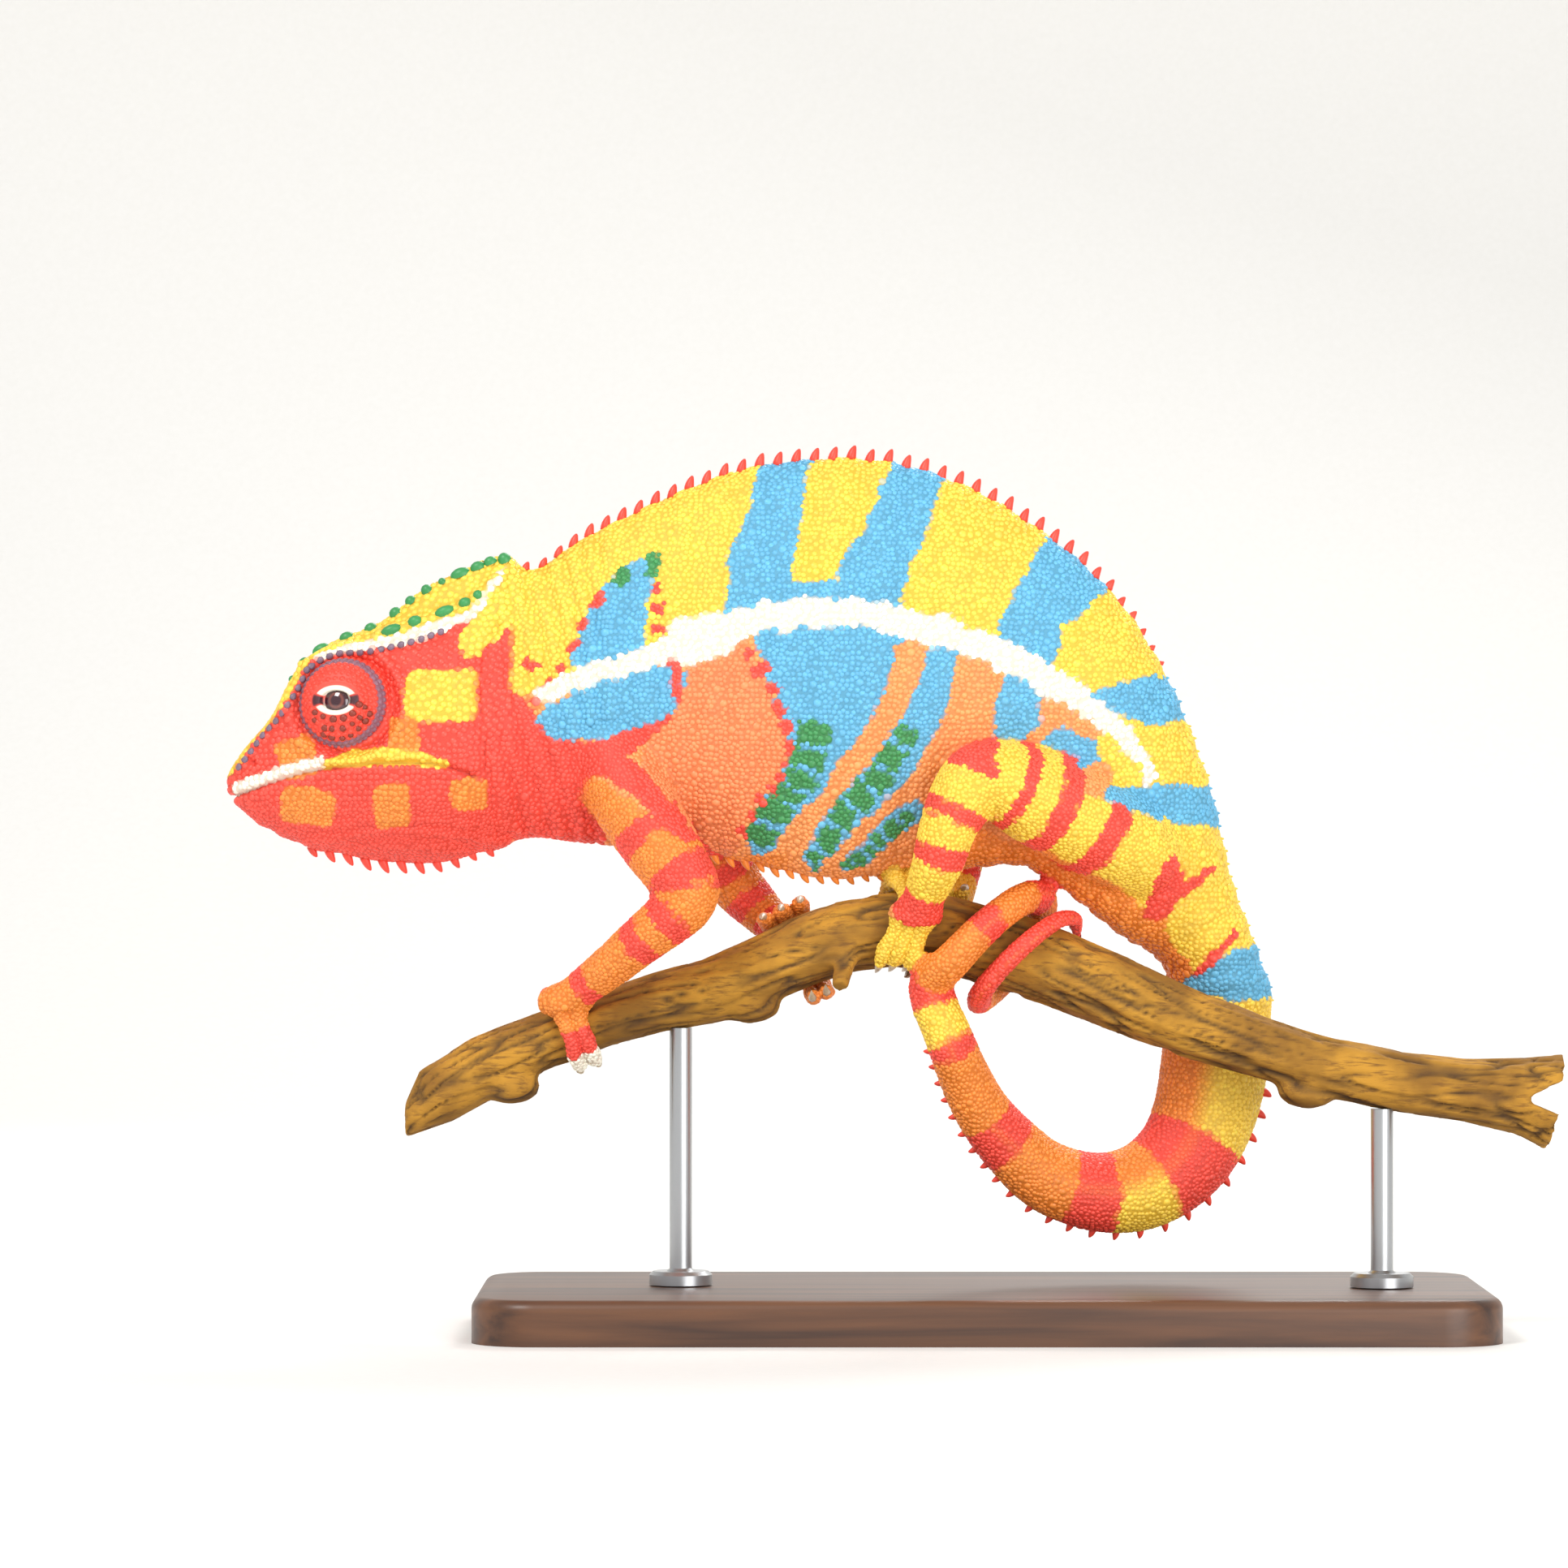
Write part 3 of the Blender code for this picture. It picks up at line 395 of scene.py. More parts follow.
# where a point lies on the animal
def sampled(rows, step):
    # points and radii every step mm along a path, with the distance walked and the row number
    at = np.linspace(0, len(rows) - 1, 40 * (len(rows) - 1) + 1)
    fine = spline(rows, at)
    walked = np.concatenate([[0], np.cumsum(np.linalg.norm(np.diff(fine[:, :3], axis=0), axis=1))])
    wanted = np.arange(0, walked[-1], step)
    return np.stack([np.interp(wanted, walked, column) for column in (*fine.T, at)], 1), wanted


paths = {"tail": sampled(tailRows, 1.0)}
for name, limb in limbs.items():
    paths[name] = sampled(limbRows(limb), 1.0)
toeSteps = 13
toePaths = {}
for name, limb in limbs.items():
    shares = np.linspace(0, 1, toeSteps)
    toePaths[name] = np.array([(*p, s) for path in toesOf(limb, toeSteps) for p, s in zip(path, shares)])


def nearest(points, samples):
    # index of the closest sample, and the distance to it, in millimetres
    index = np.empty(len(points), int)
    distance = np.empty(len(points))
    for start in range(0, len(points), 8000):
        part = points[start:start + 8000]
        gaps = ((part[:, None, :] - samples[None, :, :3]) ** 2).sum(2)
        index[start:start + 8000] = gaps.argmin(1)
        distance[start:start + 8000] = np.sqrt(gaps.min(1))
    return index, distance


def bodyPlace(points, count=400):
    # rib number along head and body
    rows = spline(ribRows, np.linspace(0, len(ribRows) - 1, count))
    x, z = points[:, 0], points[:, 2]
    up = rows[:, :2] - rows[:, 2:4]
    length = np.linalg.norm(up, axis=1)
    up = up / length[:, None]
    along = np.stack([up[:, 1], -up[:, 0]], 1)
    best = np.full(len(points), 1e9)
    place = np.zeros(len(points))
    for k in range(count):
        offX, offZ = x - rows[k, 2], z - rows[k, 3]
        off = np.abs(offX * along[k, 0] + offZ * along[k, 1])
        rise = (offX * up[k, 0] + offZ * up[k, 1]) / length[k]
        off = off + 30 * np.maximum(0, np.abs(rise - 0.5) - 0.6)
        nearer = off < best
        best[nearer] = off[nearer]
        place[nearer] = k * (len(ribRows) - 1) / (count - 1)
    return place


def whereabouts(points):
    # everything the markings and the scales need to know about each point
    place = bodyPlace(points)
    tailIndex, tailDistance = nearest(points, paths["tail"][0])
    samples = paths["tail"][0][tailIndex]
    tailAt, tailGap = samples[:, 4], tailDistance - samples[:, 3]
    onTail = (tailGap < 1.6) & ((points[:, 2] < tailTop) | (tailAt > 9.5))
    part = np.where(onTail, 1, 0)  # 0 head and body, 1 tail, 2 to 5 the limbs
    walked = np.zeros(len(points))
    limbGap = np.full(len(points), 99.0)
    toe = np.full(len(points), -1.0)
    for number, name in enumerate(limbs):
        index, distance = nearest(points, paths[name][0])
        gap = distance - paths[name][0][index, 3]
        toeIndex, toeDistance = nearest(points, toePaths[name])
        onToe = (toeDistance < 3.6) & (toeDistance < distance)
        gap = np.where(onToe, np.minimum(gap, toeDistance - foot["toeRadius"]), gap)
        closer = (gap < 1.7) & (gap < limbGap) & ~(onTail & (tailGap < gap))
        part[closer] = 2 + number
        walked[closer] = paths[name][1][index][closer]
        limbGap[closer] = gap[closer]
        toe[closer] = np.where(onToe, toePaths[name][toeIndex, 3], -1)[closer]
    return dict(place=place, tailAt=tailAt, part=part, walked=walked, limbGap=limbGap, toe=toe)


def noiseAt(points, scale, seed=0.0):
    shift = Vector((seed, seed * 0.7, -seed))
    return np.array([noise.noise(Vector(p) * scale + shift) for p in points])


# folds, lids, lips and crests of the head, and folds of the body
headLines = {  # X and Z seen from the side, with height and breadth; a groove is below 0
    "canthal": ([(-145.4, 124.2), (-142.0, 128.4), (-139.1, 132.3), (-136.2, 135.3), (-133.6, 138.8),
                 (-131.4, 142.4), (-129.4, 146.6)], 1.1, 1.2),
    "orbital": ([(-129.4, 146.6), (-126.5, 148.7), (-122.4, 150.2), (-117.4, 150.4), (-112.4, 151.2),
                 (-105.2, 153.0), (-101.3, 154.4), (-98.0, 155.6)], 1.0, 1.2),
    "lateral": ([(-113.6, 153.6), (-108.0, 155.6), (-99.0, 158.6), (-92.4, 161.6), (-87.4, 166.5)], 1.4, 1.4),
    "jaw": ([(-94.4, 112.0), (-94.8, 120.0), (-94.6, 128.0), (-94.8, 138.0), (-93.6, 148.0)], 0.6, 2.0),
    "neckFold": ([(-86.9, 157.0), (-90.3, 150.5), (-91.2, 143.0), (-91.0, 136.0), (-90.0, 127.5),
                  (-88.2, 117.0), (-87.2, 109.5)], -0.9, 0.9),
}
folds = dict(  # height, distance from the middle, breadth; a groove is below 0
    lips=[(-1.15, 0, 0.55), (0.35, 1.5, 0.9), (0.25, -1.5, 0.9)],
    eyeSocket=[(-1.4, 10.7, 1.0), (0.8, 12.8, 1.1)],
    jawMuscle=(0.9, 0, 7.0), jawMuscleAt=(-103.5, 137), nostrilRim=(0.3, 1.5, 0.6), armpit=(0.3, 1.0, 0.5),
    betweenToes=(0.75, 0, 0.8), neck=0.45, neckApart=4.6, throat=0.25, throatApart=2.6, flank=0.35, rib=0.22,
    ribApart=0.42, limb=0.2)
headEnd = -84  # X of the head's hind edge
mouthLine = [(-153, 116.9), (-146.2, 118.4), (-135.9, 122.0), (-125.5, 124.6), (-111.6, 126.0),
             (-99.9, 125.4), (-91.6, 122.6)]
nostril = dict(x=-141.6, z=126.2, radius=0.75, depth=0.9)


def linePoints(line, count=80):
    return spline(line, np.linspace(0, len(line) - 1, count))


def lineDistance(x, z, line, count=80):
    # distance in the side view, and how far along the line from 0 to 1
    dots = linePoints(line, count)
    gaps = (x[:, None] - dots[None, :, 0]) ** 2 + (z[:, None] - dots[None, :, 1]) ** 2
    index = gaps.argmin(1)
    return np.sqrt(gaps[np.arange(len(x)), index]), index / (count - 1)


mouthDots = linePoints(mouthLine, 200)


def mouthLevel(x):
    return np.interp(x, mouthDots[:, 0], mouthDots[:, 1])


def sideGap(x, z, middle):
    # distance from a place, seen from the side
    return np.hypot(x - middle[0], z - middle[1])


def fold(gap, form):
    height, middle, breadth = form
    return height * np.exp(-((gap - middle) / breadth) ** 2)


def ripple(distance, apart, drift):
    return np.sin(distance * 2 * np.pi / apart + drift)


eyeMiddle, nostrilMiddle = (eye["centre"][0], eye["centre"][2]), (nostril["x"], nostril["z"])
co = np.array([vert.co for vert in bm.verts]) / mm
normals = np.array([vert.normal for vert in bm.verts])
place = whereabouts(co)
x, y, z = co.T
sideways = smoothStep(0.25, 0.6, np.abs(normals[:, 1]))
onBody = place["part"] == 0
head = onBody & (x < headEnd + 2)
push = np.zeros(len(co))
for line, height, breadth in headLines.values():
    distance, _ = lineDistance(x, z, line)
    push += np.where(head, fold(distance, (height, 0, breadth)) * sideways, 0)
lip = np.where(head, smoothStep(-90.6, -92.6, x), 0)
push += lip * sum(fold(z - mouthLevel(x), form) for form in folds["lips"])
eyeGap = sideGap(x, z, eyeMiddle)
socket = sum(fold(eyeGap, form) for form in folds["eyeSocket"]) - smoothStep(10, 6, eyeGap)
push += np.where(head, sideways * socket, 0)
push += np.where(head, sideways * fold(sideGap(x, z, folds["jawMuscleAt"]), folds["jawMuscle"]), 0)
nostrilGap = sideGap(x, z, nostrilMiddle)
opening = fold(nostrilGap, (-nostril["depth"], 0, nostril["radius"])) + fold(nostrilGap, folds["nostrilRim"])
push += np.where(head, sideways * opening, 0)
neck = smoothStep(-91, -84, x) * smoothStep(-58, -68, x) * onBody
drift = noiseAt(co, 0.08) * 2
push += neck * folds["neck"] * ripple(x + 0.25 * (z - 140), folds["neckApart"], drift) * sideways
throat = np.where(head, smoothStep(117, 109, z), 0)
push += throat * folds["throat"] * ripple(z + 0.3 * y, folds["throatApart"], noiseAt(co, 0.1, 3) * 2)
relief = folds["flank"] * noiseAt(co, 0.055, 8) + folds["rib"] * ripple(place["place"], folds["ribApart"], 0)
push += np.where(onBody & (x > -66), relief, 0)
push -= fold(place["limbGap"], folds["armpit"]) * (place["part"] > 1)
for number, name in enumerate(limbs):  # grooves between the bound toes
    on = (place["part"] == 2 + number) & (place["toe"] > 0.1)
    gaps = np.sort([nearest(co[on], toe)[1] for toe in toePaths[name].reshape(-1, toeSteps, 4)], axis=0)
    push[on] -= fold(gaps[1] - gaps[0], folds["betweenToes"])
push += np.where(place["part"] > 1, folds["limb"] * noiseAt(co, 0.16, 5), 0)
co += normals * push[:, None]
for vert, where in zip(bm.verts, co * mm):
    vert.co = where
bm.normal_update()
print("folds and crests pressed in")


# the coat of colours: named bands and patches on the animal itself
paint = {name: np.array(toLinear(code)) for name, code in {
    "red": "#F24836", "orange": "#F28A2A", "salmon": "#F28A50", "apricot": "#F59A52", "yellow": "#F8CE3A",
    "blue": "#5EB0D6", "green": "#3B9150", "cream": "#F8F1DE", "mauve": "#7D6678", "brown": "#8A3122",
    "umber": "#47202A", "pupil": "#3A1620", "copper": "#8C4A3C",
}.items()}
# bars: colour, middle line in the side view (X, Z), full widths along it
upperBars = [  # above the pale side stripe
    ("blue", [(-55.6, 168.4), (-58.4, 163.8), (-61.4, 157), (-62.8, 150)], (4.5, 10, 14, 16)),
    ("green", [(-59.4, 168.6), (-60.2, 166.4)], (2.6, 2.8)),
    ("green", [(-52.8, 171.2), (-53.9, 168.6)], (2.8, 2.8)),
    ("blue", [(-23.6, 198), (-26, 181), (-29.3, 168), (-29.6, 158)], (11, 11.5, 14.5, 15)),
    ("blue", [(-29, 162.2), (-8, 162.2)], (8, 8)),
    ("blue", [(9.4, 198), (3.6, 186), (-1.2, 174), (-4.9, 166.5), (-6.1, 156)], (12.5, 12.5, 12.8, 15.5, 16)),
    ("blue", [(47, 177), (39, 168), (32, 158.6), (28.8, 149)], (19, 17, 13.5, 12)),
    ("blue", [(69, 141.2), (56, 139.8), (45.4, 140.4)], (10.5, 10.5, 3.6)),
]
lowerBars = [  # below it
    ("blue", [(-76, 133.6), (-68, 136.4), (-58, 139.2), (-49.4, 141.4)], (7, 11, 12, 12)),
    ("blue", [(29.8, 146.5), (27.3, 137.4), (25, 130.6)], (9.8, 10.6, 6.6)),
    ("apricot", [(36.8, 138.2), (34.2, 131.6)], (6.4, 7)), ("blue", [(36.6, 130.6), (42.6, 126.4)], (6.6, 8)),
    ("apricot", [(41.8, 120.6), (46.2, 123.8)], (7.0, 5.6)),
    ("yellow", [(47.8, 129.6), (52.4, 125.4)], (6.6, 7)),
    ("blue", [(74, 115.6), (60, 117.2), (47.6, 118.8)], (9.6, 8.2, 3.4)),
    ("blue", [(90, 80), (76, 78.4), (66, 76.2)], (12.5, 10.5, 4)),
    ("blue", [(-14.3, 156), (-14.6, 146), (-15.5, 137), (-17.4, 130), (-21, 121.5), (-25.2, 115),
              (-29.2, 109)], (33, 28, 20, 14, 10, 8.6, 7)),
    ("blue", [(11.8, 153), (9, 143), (5.6, 134.5), (0.5, 126.5), (-5.5, 119.8), (-12.5, 112), (-17.2, 104.8)],
     (6.6, 7.0, 8.0, 8.8, 8.6, 7.0, 4.6)),
    ("blue", [(4.8, 115.4), (-1.5, 110.4), (-6, 106.4), (-9.8, 103.0)], (4.6, 4.4, 4.4, 3.4)),
    ("red", [(58.6, 93.8), (61.0, 99.2), (61.6, 105.0)], (6, 8, 2.2)),
    ("red", [(64.5, 97.4), (71.2, 102.4)], (2.6, 1.8)),
    ("red", [(68, 79.6), (72.2, 83.4), (76.4, 88)], (2, 2.4, 1.6)),
    ("red", [(-86.5, 154), (-86.4, 141), (-83, 129), (-78, 119), (-73, 112)], (4, 8, 15, 22, 20)),
    ("red", [(-79, 126), (-68, 126), (-57, 131.6), (-47.5, 136.0)], (14, 9, 4.0, 2.6)),
    ("red", [(-64, 128), (-57, 122), (-51, 116.6), (-40.5, 105.2)], (5, 6, 6, 5)),
    ("red", [(-49.8, 150), (-47.4, 143), (-45.8, 136.6)], (2.2, 2.8, 2.6)),
]
greenBlocks = [  # over the lower ends of blue bars: middle line, widths, number of blocks
    ([(-17.2, 135.4), (-18.8, 127), (-21.6, 121), (-25.4, 116), (-30.2, 107.8)],
     (8.8, 8.0, 7.6, 7.0, 5.6), 6),
    ([(4.2, 134.4), (-0.8, 126.2), (-7.0, 118.8), (-13.2, 111.2), (-18, 103.4)],
     (4.0, 6.2, 6.8, 5.6, 3.0), 7),
    ([(4.2, 114.6), (-1.5, 110.0), (-6.2, 105.8), (-10, 102.6)], (3.0, 3.2, 3.2, 2.6), 6),
]
redDots = [  # rows of them: line, beads, radius
    ([(-32, 150.5), (-27.4, 144), (-24.2, 135), (-23.6, 127.5), (-26.2, 121.5), (-29.3, 117), (-33, 110.5)],
     72, 1.25),
    ([(-52.6, 164.5), (-51.2, 153)], 20, 1.3), ([(-65.6, 162.5), (-70.5, 152.4), (-75, 143.4)], 26, 1.2),
    ([(-75, 143.4), (-82.4, 149.2)], 12, 1.1), ([(-78.6, 141), (-80.4, 133)], 12, 1.1),
]
salmonPatch = dict(  # behind the shoulder: its front and back edge in X at each level
    level=[104, 110.5, 117, 122, 128, 135, 144, 152], front=[-38, -43, -49, -54, -56, -49, -45, -47],
    back=[-36, -33, -29, -26, -23.6, -24.2, -27.4, -32], low=105)
sideStripe = dict(
    line=[(-77, 141.3), (-68, 144.6), (-59.4, 147.4), (-47, 151.8), (-37, 155.6), (-28.2, 158.0),
          (-16.5, 159.2), (-3, 158.4), (10.9, 154.6), (24, 149.6), (34.3, 144.0), (45.5, 136.6),
          (52.1, 130.8), (56.6, 123.4)],
    widths=(4.8, 5.2, 5.6, 6.2, 6.6, 6.6, 6.4, 6.4, 6.6, 6.6, 6.4, 5.2, 4.4, 3.8),
    ring=((-42.4, 153.4), (6.8, 5.2), 14))  # its wider place behind the shoulder
inwardLine = [(8, 104), (18.8, 111.5), (25.2, 108.9), (33.6, 107.4), (40, 102.8), (46.4, 101.2), (54.1, 95.4),
              (60.6, 91.0), (63.1, 85.8), (66.5, 80.6), (68, 74), (69, 0)]  # orange below
roofLine = [(-147, 123), (-144.4, 126.2), (-142, 129.6), (-139, 133.5), (-136.2, 136.5), (-133.6, 140.0),
            (-131.4, 143.8), (-129.3, 148.2), (-126, 150.6), (-120.5, 151.6), (-114, 152.7), (-108, 154.4),
            (-99, 156.9), (-92.5, 159.9), (-88.0, 166), (-84, 171)]  # yellow above
headBars = [
    ("cream", [(-127.6, 149.4), (-121, 151.2), (-114.5, 152.4), (-107, 153.8), (-99.5, 156.6), (-92.6, 159.6),
               (-86.6, 168.2)], (1.2, 2.0, 2.4, 3.0, 2.8, 2.0, 1.6)),
    ("yellow", [(-78, 172), (-85.4, 161.4), (-93.2, 152.2)], (10.5, 8.5, 6)),
    ("yellow", [(-125.4, 125.4), (-118, 127.0), (-108, 127.3), (-98.6, 125.6)], (1.4, 3.8, 4.4, 1.6)),
]
headPatches = [  # colour, middle X Z, half sizes, tilt in degrees
    ("orange", (-131.5, 126.9), (4.4, 4.6), 14), ("yellow", (-99.8, 140.8), (8.0, 5.8), 2),
    ("orange", (-107.8, 132.4), (3.2, 3.7), 0), ("orange", (-129.2, 116.4), (6.0, 4.1), -8),
    ("orange", (-110.3, 116.6), (4.1, 5.0), 0), ("orange", (-93.4, 119.0), (3.9, 3.5), 0),
]


def barMask(x, z, line, widths, soft=0.1):
    distance, share = lineDistance(x, z, line, 60)
    half = np.interp(share * (len(widths) - 1), np.arange(len(widths)), widths) / 2
    return smoothStep(soft, -soft, distance - half)


def patchMask(x, z, middle, sizes, tilt, soft=0.05):
    c, s = math.cos(math.radians(tilt)), math.sin(math.radians(tilt))
    u = ((x - middle[0]) * c + (z - middle[1]) * s) / sizes[0]
    v = (-(x - middle[0]) * s + (z - middle[1]) * c) / sizes[1]
    return smoothStep(1 + soft, 1 - soft, (np.abs(u) ** 5 + np.abs(v) ** 5) ** (1 / 5))


def ringMask(at, low, high, soft):
    return smoothStep(low - soft, low + soft, at) * smoothStep(high + soft, high - soft, at)


limbBands = {
    # colour of the limb, where its bands run in millimetres along it, its upper edge on the body
    "front": ("orange", [(20.2, 25.2), (32, 37), (43, 47.5), (51.5, 55.5), (68.0, 72.2)],
              [(-80, 121), (-66, 122.6), (-62.6, 121.4), (-56, 116.2), (-50.5, 112.4), (-39.4, 104)]),
    "rear": ("yellow", [(17.2, 22.6), (29.6, 34.2), (39.6, 42.4), (57.5, 61), (66.5, 70.5), (78.5, 84.5)],
             [(11, 136), (22.8, 130), (29.3, 127.4), (36.4, 122.8), (43.5, 118.6), (56.6, 114.2),
              (67.7, 110)]),
}
tailLoopMiddle = (42, 10, 62)
tailBands = [  # colour of the outer side, of the inner side, and the rows of the tail it covers
    ("yellow", "orange", -1, 2.45), ("red", "red", 2.45, 3.7), ("yellow", "orange", 3.7, 4.75),
    ("red", "red", 4.75, 5.6), ("orange", "orange", 5.6, 7.0), ("red", "red", 7.0, 7.9),
    ("orange", "orange", 7.9, 9.75), ("red", "red", 9.75, 10.05), ("yellow", "yellow", 10.05, 10.6),
    ("red", "red", 10.6, 11.3), ("orange", "orange", 11.3, 12.7), ("red", "red", 12.7, 13.15),
    ("orange", "orange", 13.15, 14.1), ("red", "red", 14.1, 14.8), ("orange", "orange", 14.8, 16.2),
    ("red", "red", 16.2, 17.0), ("orange", "orange", 17.0, 18.4), ("red", "red", 18.4, 30),
]


def mix(colours, name, mask):
    return colours + (paint[name] - colours) * np.clip(mask, 0, 1)[:, None]


def markings(points, normals, place):
    calm = 1 - 0.65 * smoothStep(-82, -90, points[:, 0])
    wobbleX = (noiseAt(points, 0.22, 11) * 1.3 + noiseAt(points, 0.7, 21) * 0.5) * calm
    wobbleZ = (noiseAt(points, 0.22, 31) * 1.3 + noiseAt(points, 0.7, 41) * 0.5) * calm
    x, z = points[:, 0] + wobbleX, points[:, 2] + wobbleZ
    stripeZ = np.interp(x, *linePoints(sideStripe["line"], 140).T)
    inwardZ = np.interp(x, *np.array(inwardLine).T)
    # trunk and neck
    colours = np.tile(paint["yellow"], (len(points), 1))
    colours = mix(colours, "apricot", smoothStep(0.4, -0.4, z - stripeZ) * smoothStep(50, 45, x))
    colours = mix(colours, "orange", smoothStep(0.6, -0.6, z - inwardZ) * smoothStep(4, 12, x))
    colours = mix(colours, "orange", smoothStep(106.5, 104.5, z) * smoothStep(-20, -28, x))
    for name, line, widths in upperBars:
        colours = mix(colours, name, barMask(x, z, line, widths) * (z > stripeZ))
    for name, line, widths in lowerBars:
        colours = mix(colours, name, barMask(x, z, line, widths) * (z < stripeZ))
    for line, widths, blocks in greenBlocks:
        _, share = lineDistance(x, z, line, 90)
        inBlock = (share * blocks % 1 > 0.2) & (share < 1)
        colours = mix(colours, "green", barMask(x, z, line, widths) * inBlock)
    front, back = (np.interp(z, salmonPatch["level"], salmonPatch[edge]) for edge in ("front", "back"))
    salmon = (x > front) & (x < back) & (z > salmonPatch["low"]) & (z < stripeZ - 2)
    colours = mix(colours, "salmon", salmon * 1.0)
    for line, beads, radius in redDots:
        distance, share = lineDistance(x, z, line, 90)
        colours = mix(colours, "red", (distance < radius) * (np.sin(share * beads) > -0.3) * 1.0)
    colours = mix(colours, "cream", barMask(x, z, sideStripe["line"], sideStripe["widths"]))
    colours = mix(colours, "cream", patchMask(x, z, *sideStripe["ring"]))
    # head
    onHead = smoothStep(headEnd + 0.5, headEnd - 0.5, x)
    face = np.tile(paint["red"], (len(points), 1))
    roofZ = np.interp(x, *np.array(roofLine).T)
    face = mix(face, "yellow", smoothStep(-0.2, 0.2, z - roofZ))
    for name, line, widths in headBars:
        face = mix(face, name, barMask(x, z, line, widths))
    for name, middle, sizes, tilt in headPatches:
        face = mix(face, name, patchMask(x, z, middle, sizes, tilt))
    aboveMouth = points[:, 2] - mouthLevel(points[:, 0])
    upperLip = (aboveMouth > 0) * smoothStep(3.2, 2.8, aboveMouth)
    face = mix(face, "cream", upperLip * smoothStep(-146.5, -145.5, x) * smoothStep(-125, -126, x))
    colours = colours + (face - colours) * onHead[:, None]
    # tail
    outward = (points - np.array(tailLoopMiddle)) @ np.diag([1, 0, 1])
    outward /= np.linalg.norm(outward, axis=1)[:, None] + 1e-9
    outer = smoothStep(-0.35, 0.1, (outward * normals).sum(1))
    at = place["tailAt"] + wobbleX * 0.06
    tail = np.tile(paint["orange"], (len(points), 1))
    for outerName, innerName, low, high in tailBands:
        band = ringMask(at, low, high, 0.05)
        tail = mix(tail, innerName, band * (1 - outer))
        tail = mix(tail, outerName, band * outer)
    onTail = place["part"] == 1
    colours[onTail] = tail[onTail]
    # limbs
    toe = place["toe"]
    for number, name in enumerate(limbs):
        base, bands, edge = limbBands["front" if name.startswith("front") else "rear"]
        limb = np.tile(paint[base], (len(points), 1))
        walked = place["walked"] + wobbleX * 0.6
        if base == "yellow":  # orange inside the thigh, a red cap on the knee
            limb = mix(limb, "orange", smoothStep(0.6, -0.6, z - inwardZ) * smoothStep(44, 40, walked))
            limb = mix(limb, "red", (z > 124.6 - 0.35 * (x - 16)) * (x < 22.6) * 1.0)
        for low, high in bands:
            limb = mix(limb, "red", ringMask(walked, low, high, 0.25))
        limb = mix(limb, base, (toe >= 0) * 1.0)
        if name == "frontLeft":  # pale toe tips
            limb = mix(limb, "red", (toe > 0.4) * 1.0)
            limb = mix(limb, "cream", (toe > 0.68) * 1.0)
        below = smoothStep(-0.25, 0.25, np.interp(x, *np.array(edge).T) - z)
        inside = smoothStep(1.5, 0.9, place["limbGap"]) * np.maximum(below, walked > 30)
        inside *= smoothStep(5, 8, place["walked"])
        here = place["part"] == 2 + number
        merged = colours + (limb - colours) * inside[:, None]
        colours[here] = merged[here]
    # the small unevenness of pigment
    mottle = 1 + 0.10 * noiseAt(points, 0.9, 51) + 0.07 * noiseAt(points, 0.25, 61)
    return np.clip(colours * mottle[:, None], 0, 1)


def storeColours(mesh, colours):
    layer = mesh.color_attributes.new("markings", "FLOAT_COLOR", "POINT")
    opaque = np.concatenate([colours, np.ones((len(colours), 1))], 1)
    layer.data.foreach_set("color", opaque.ravel().astype(np.float32))


def pigmented(name, values, kind, output, size, strength, depth, details=None, invert=False):
    # a finish that takes its colour from the markings, with relief of that many millimetres
    material, tree, shader = newMaterial(name, values)
    pigment = addNode(tree, "ShaderNodeAttribute", attribute_name="markings")
    tree.links.new(pigment.outputs["Color"], shader.inputs["Base Color"])
    coords = addNode(tree, "ShaderNodeTexCoord")
    grain = addNode(tree, kind, {"Scale": 1 / (size * mm), **(details or {})},
                    {"Vector": coords.outputs["Object"]})
    bump = addNode(tree, "ShaderNodeBump", {"Strength": strength, "Distance": depth * mm},
                   {"Height": grain.outputs[output]}, invert=invert)
    tree.links.new(bump.outputs["Normal"], shader.inputs["Normal"])
    return material, tree, shader, pigment


# reptile skin: dry, softly shining, slightly translucent; painted shade darkens its colour, so the skin seen
# in the gaps between the scales that stand on it looks darker
skinMaterial, tree, shader, pigment = pigmented(
    "reptileSkin", {"Roughness": 0.55, "Subsurface Weight": 0.06, "Subsurface Scale": 0.4,
                    "Subsurface Radius": (0.004, 0.0015, 0.0008)},
    "ShaderNodeTexVoronoi", "Distance", 0.55, 0.35, 0.15, invert=True)
# painted shade: the markings are multiplied darker for the shadowed gaps between the scales
gapShade = addNode(tree, "ShaderNodeMix", {0: 0.35, 7: rgba("#B08A78")}, {6: pigment.outputs["Color"]},
                data_type="RGBA", blend_type="MULTIPLY")
tree.links.new(gapShade.outputs[2], shader.inputs["Base Color"])
# keratin of the granular scales: satin, each scale a little domed
scaleMaterial, *_ = pigmented("granularScales", {"Roughness": 0.42}, "ShaderNodeTexNoise", "Fac",
                              0.4, 0.25, 0.06, {"Detail": 2.0})

skin = asObject("skin", bm, skinMaterial)
skinMesh = skin.data
count = len(skinMesh.vertices)
skinCo = np.empty(count * 3)
skinMesh.vertices.foreach_get("co", skinCo)
skinCo = skinCo.reshape(-1, 3) / mm
skinNormals = np.empty(count * 3)
skinMesh.vertex_normals.foreach_get("vector", skinNormals)
skinNormals = skinNormals.reshape(-1, 3)
skinPlace = whereabouts(skinCo)
storeColours(skinMesh, markings(skinCo, skinNormals, skinPlace))
skinTree = BVHTree.FromPolygons([Vector(p) for p in skinCo], [tuple(f.vertices) for f in skinMesh.polygons])
fleshNames = ("head", "lower_jaw", "neck", "trunk", "tail", "leg", "foot")
fleshNodes = [name for name in frame["nodes"] if name.startswith(fleshNames)]
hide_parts(*fleshNodes)
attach(skin, "root")
print("skin coloured:", count, "vertices")


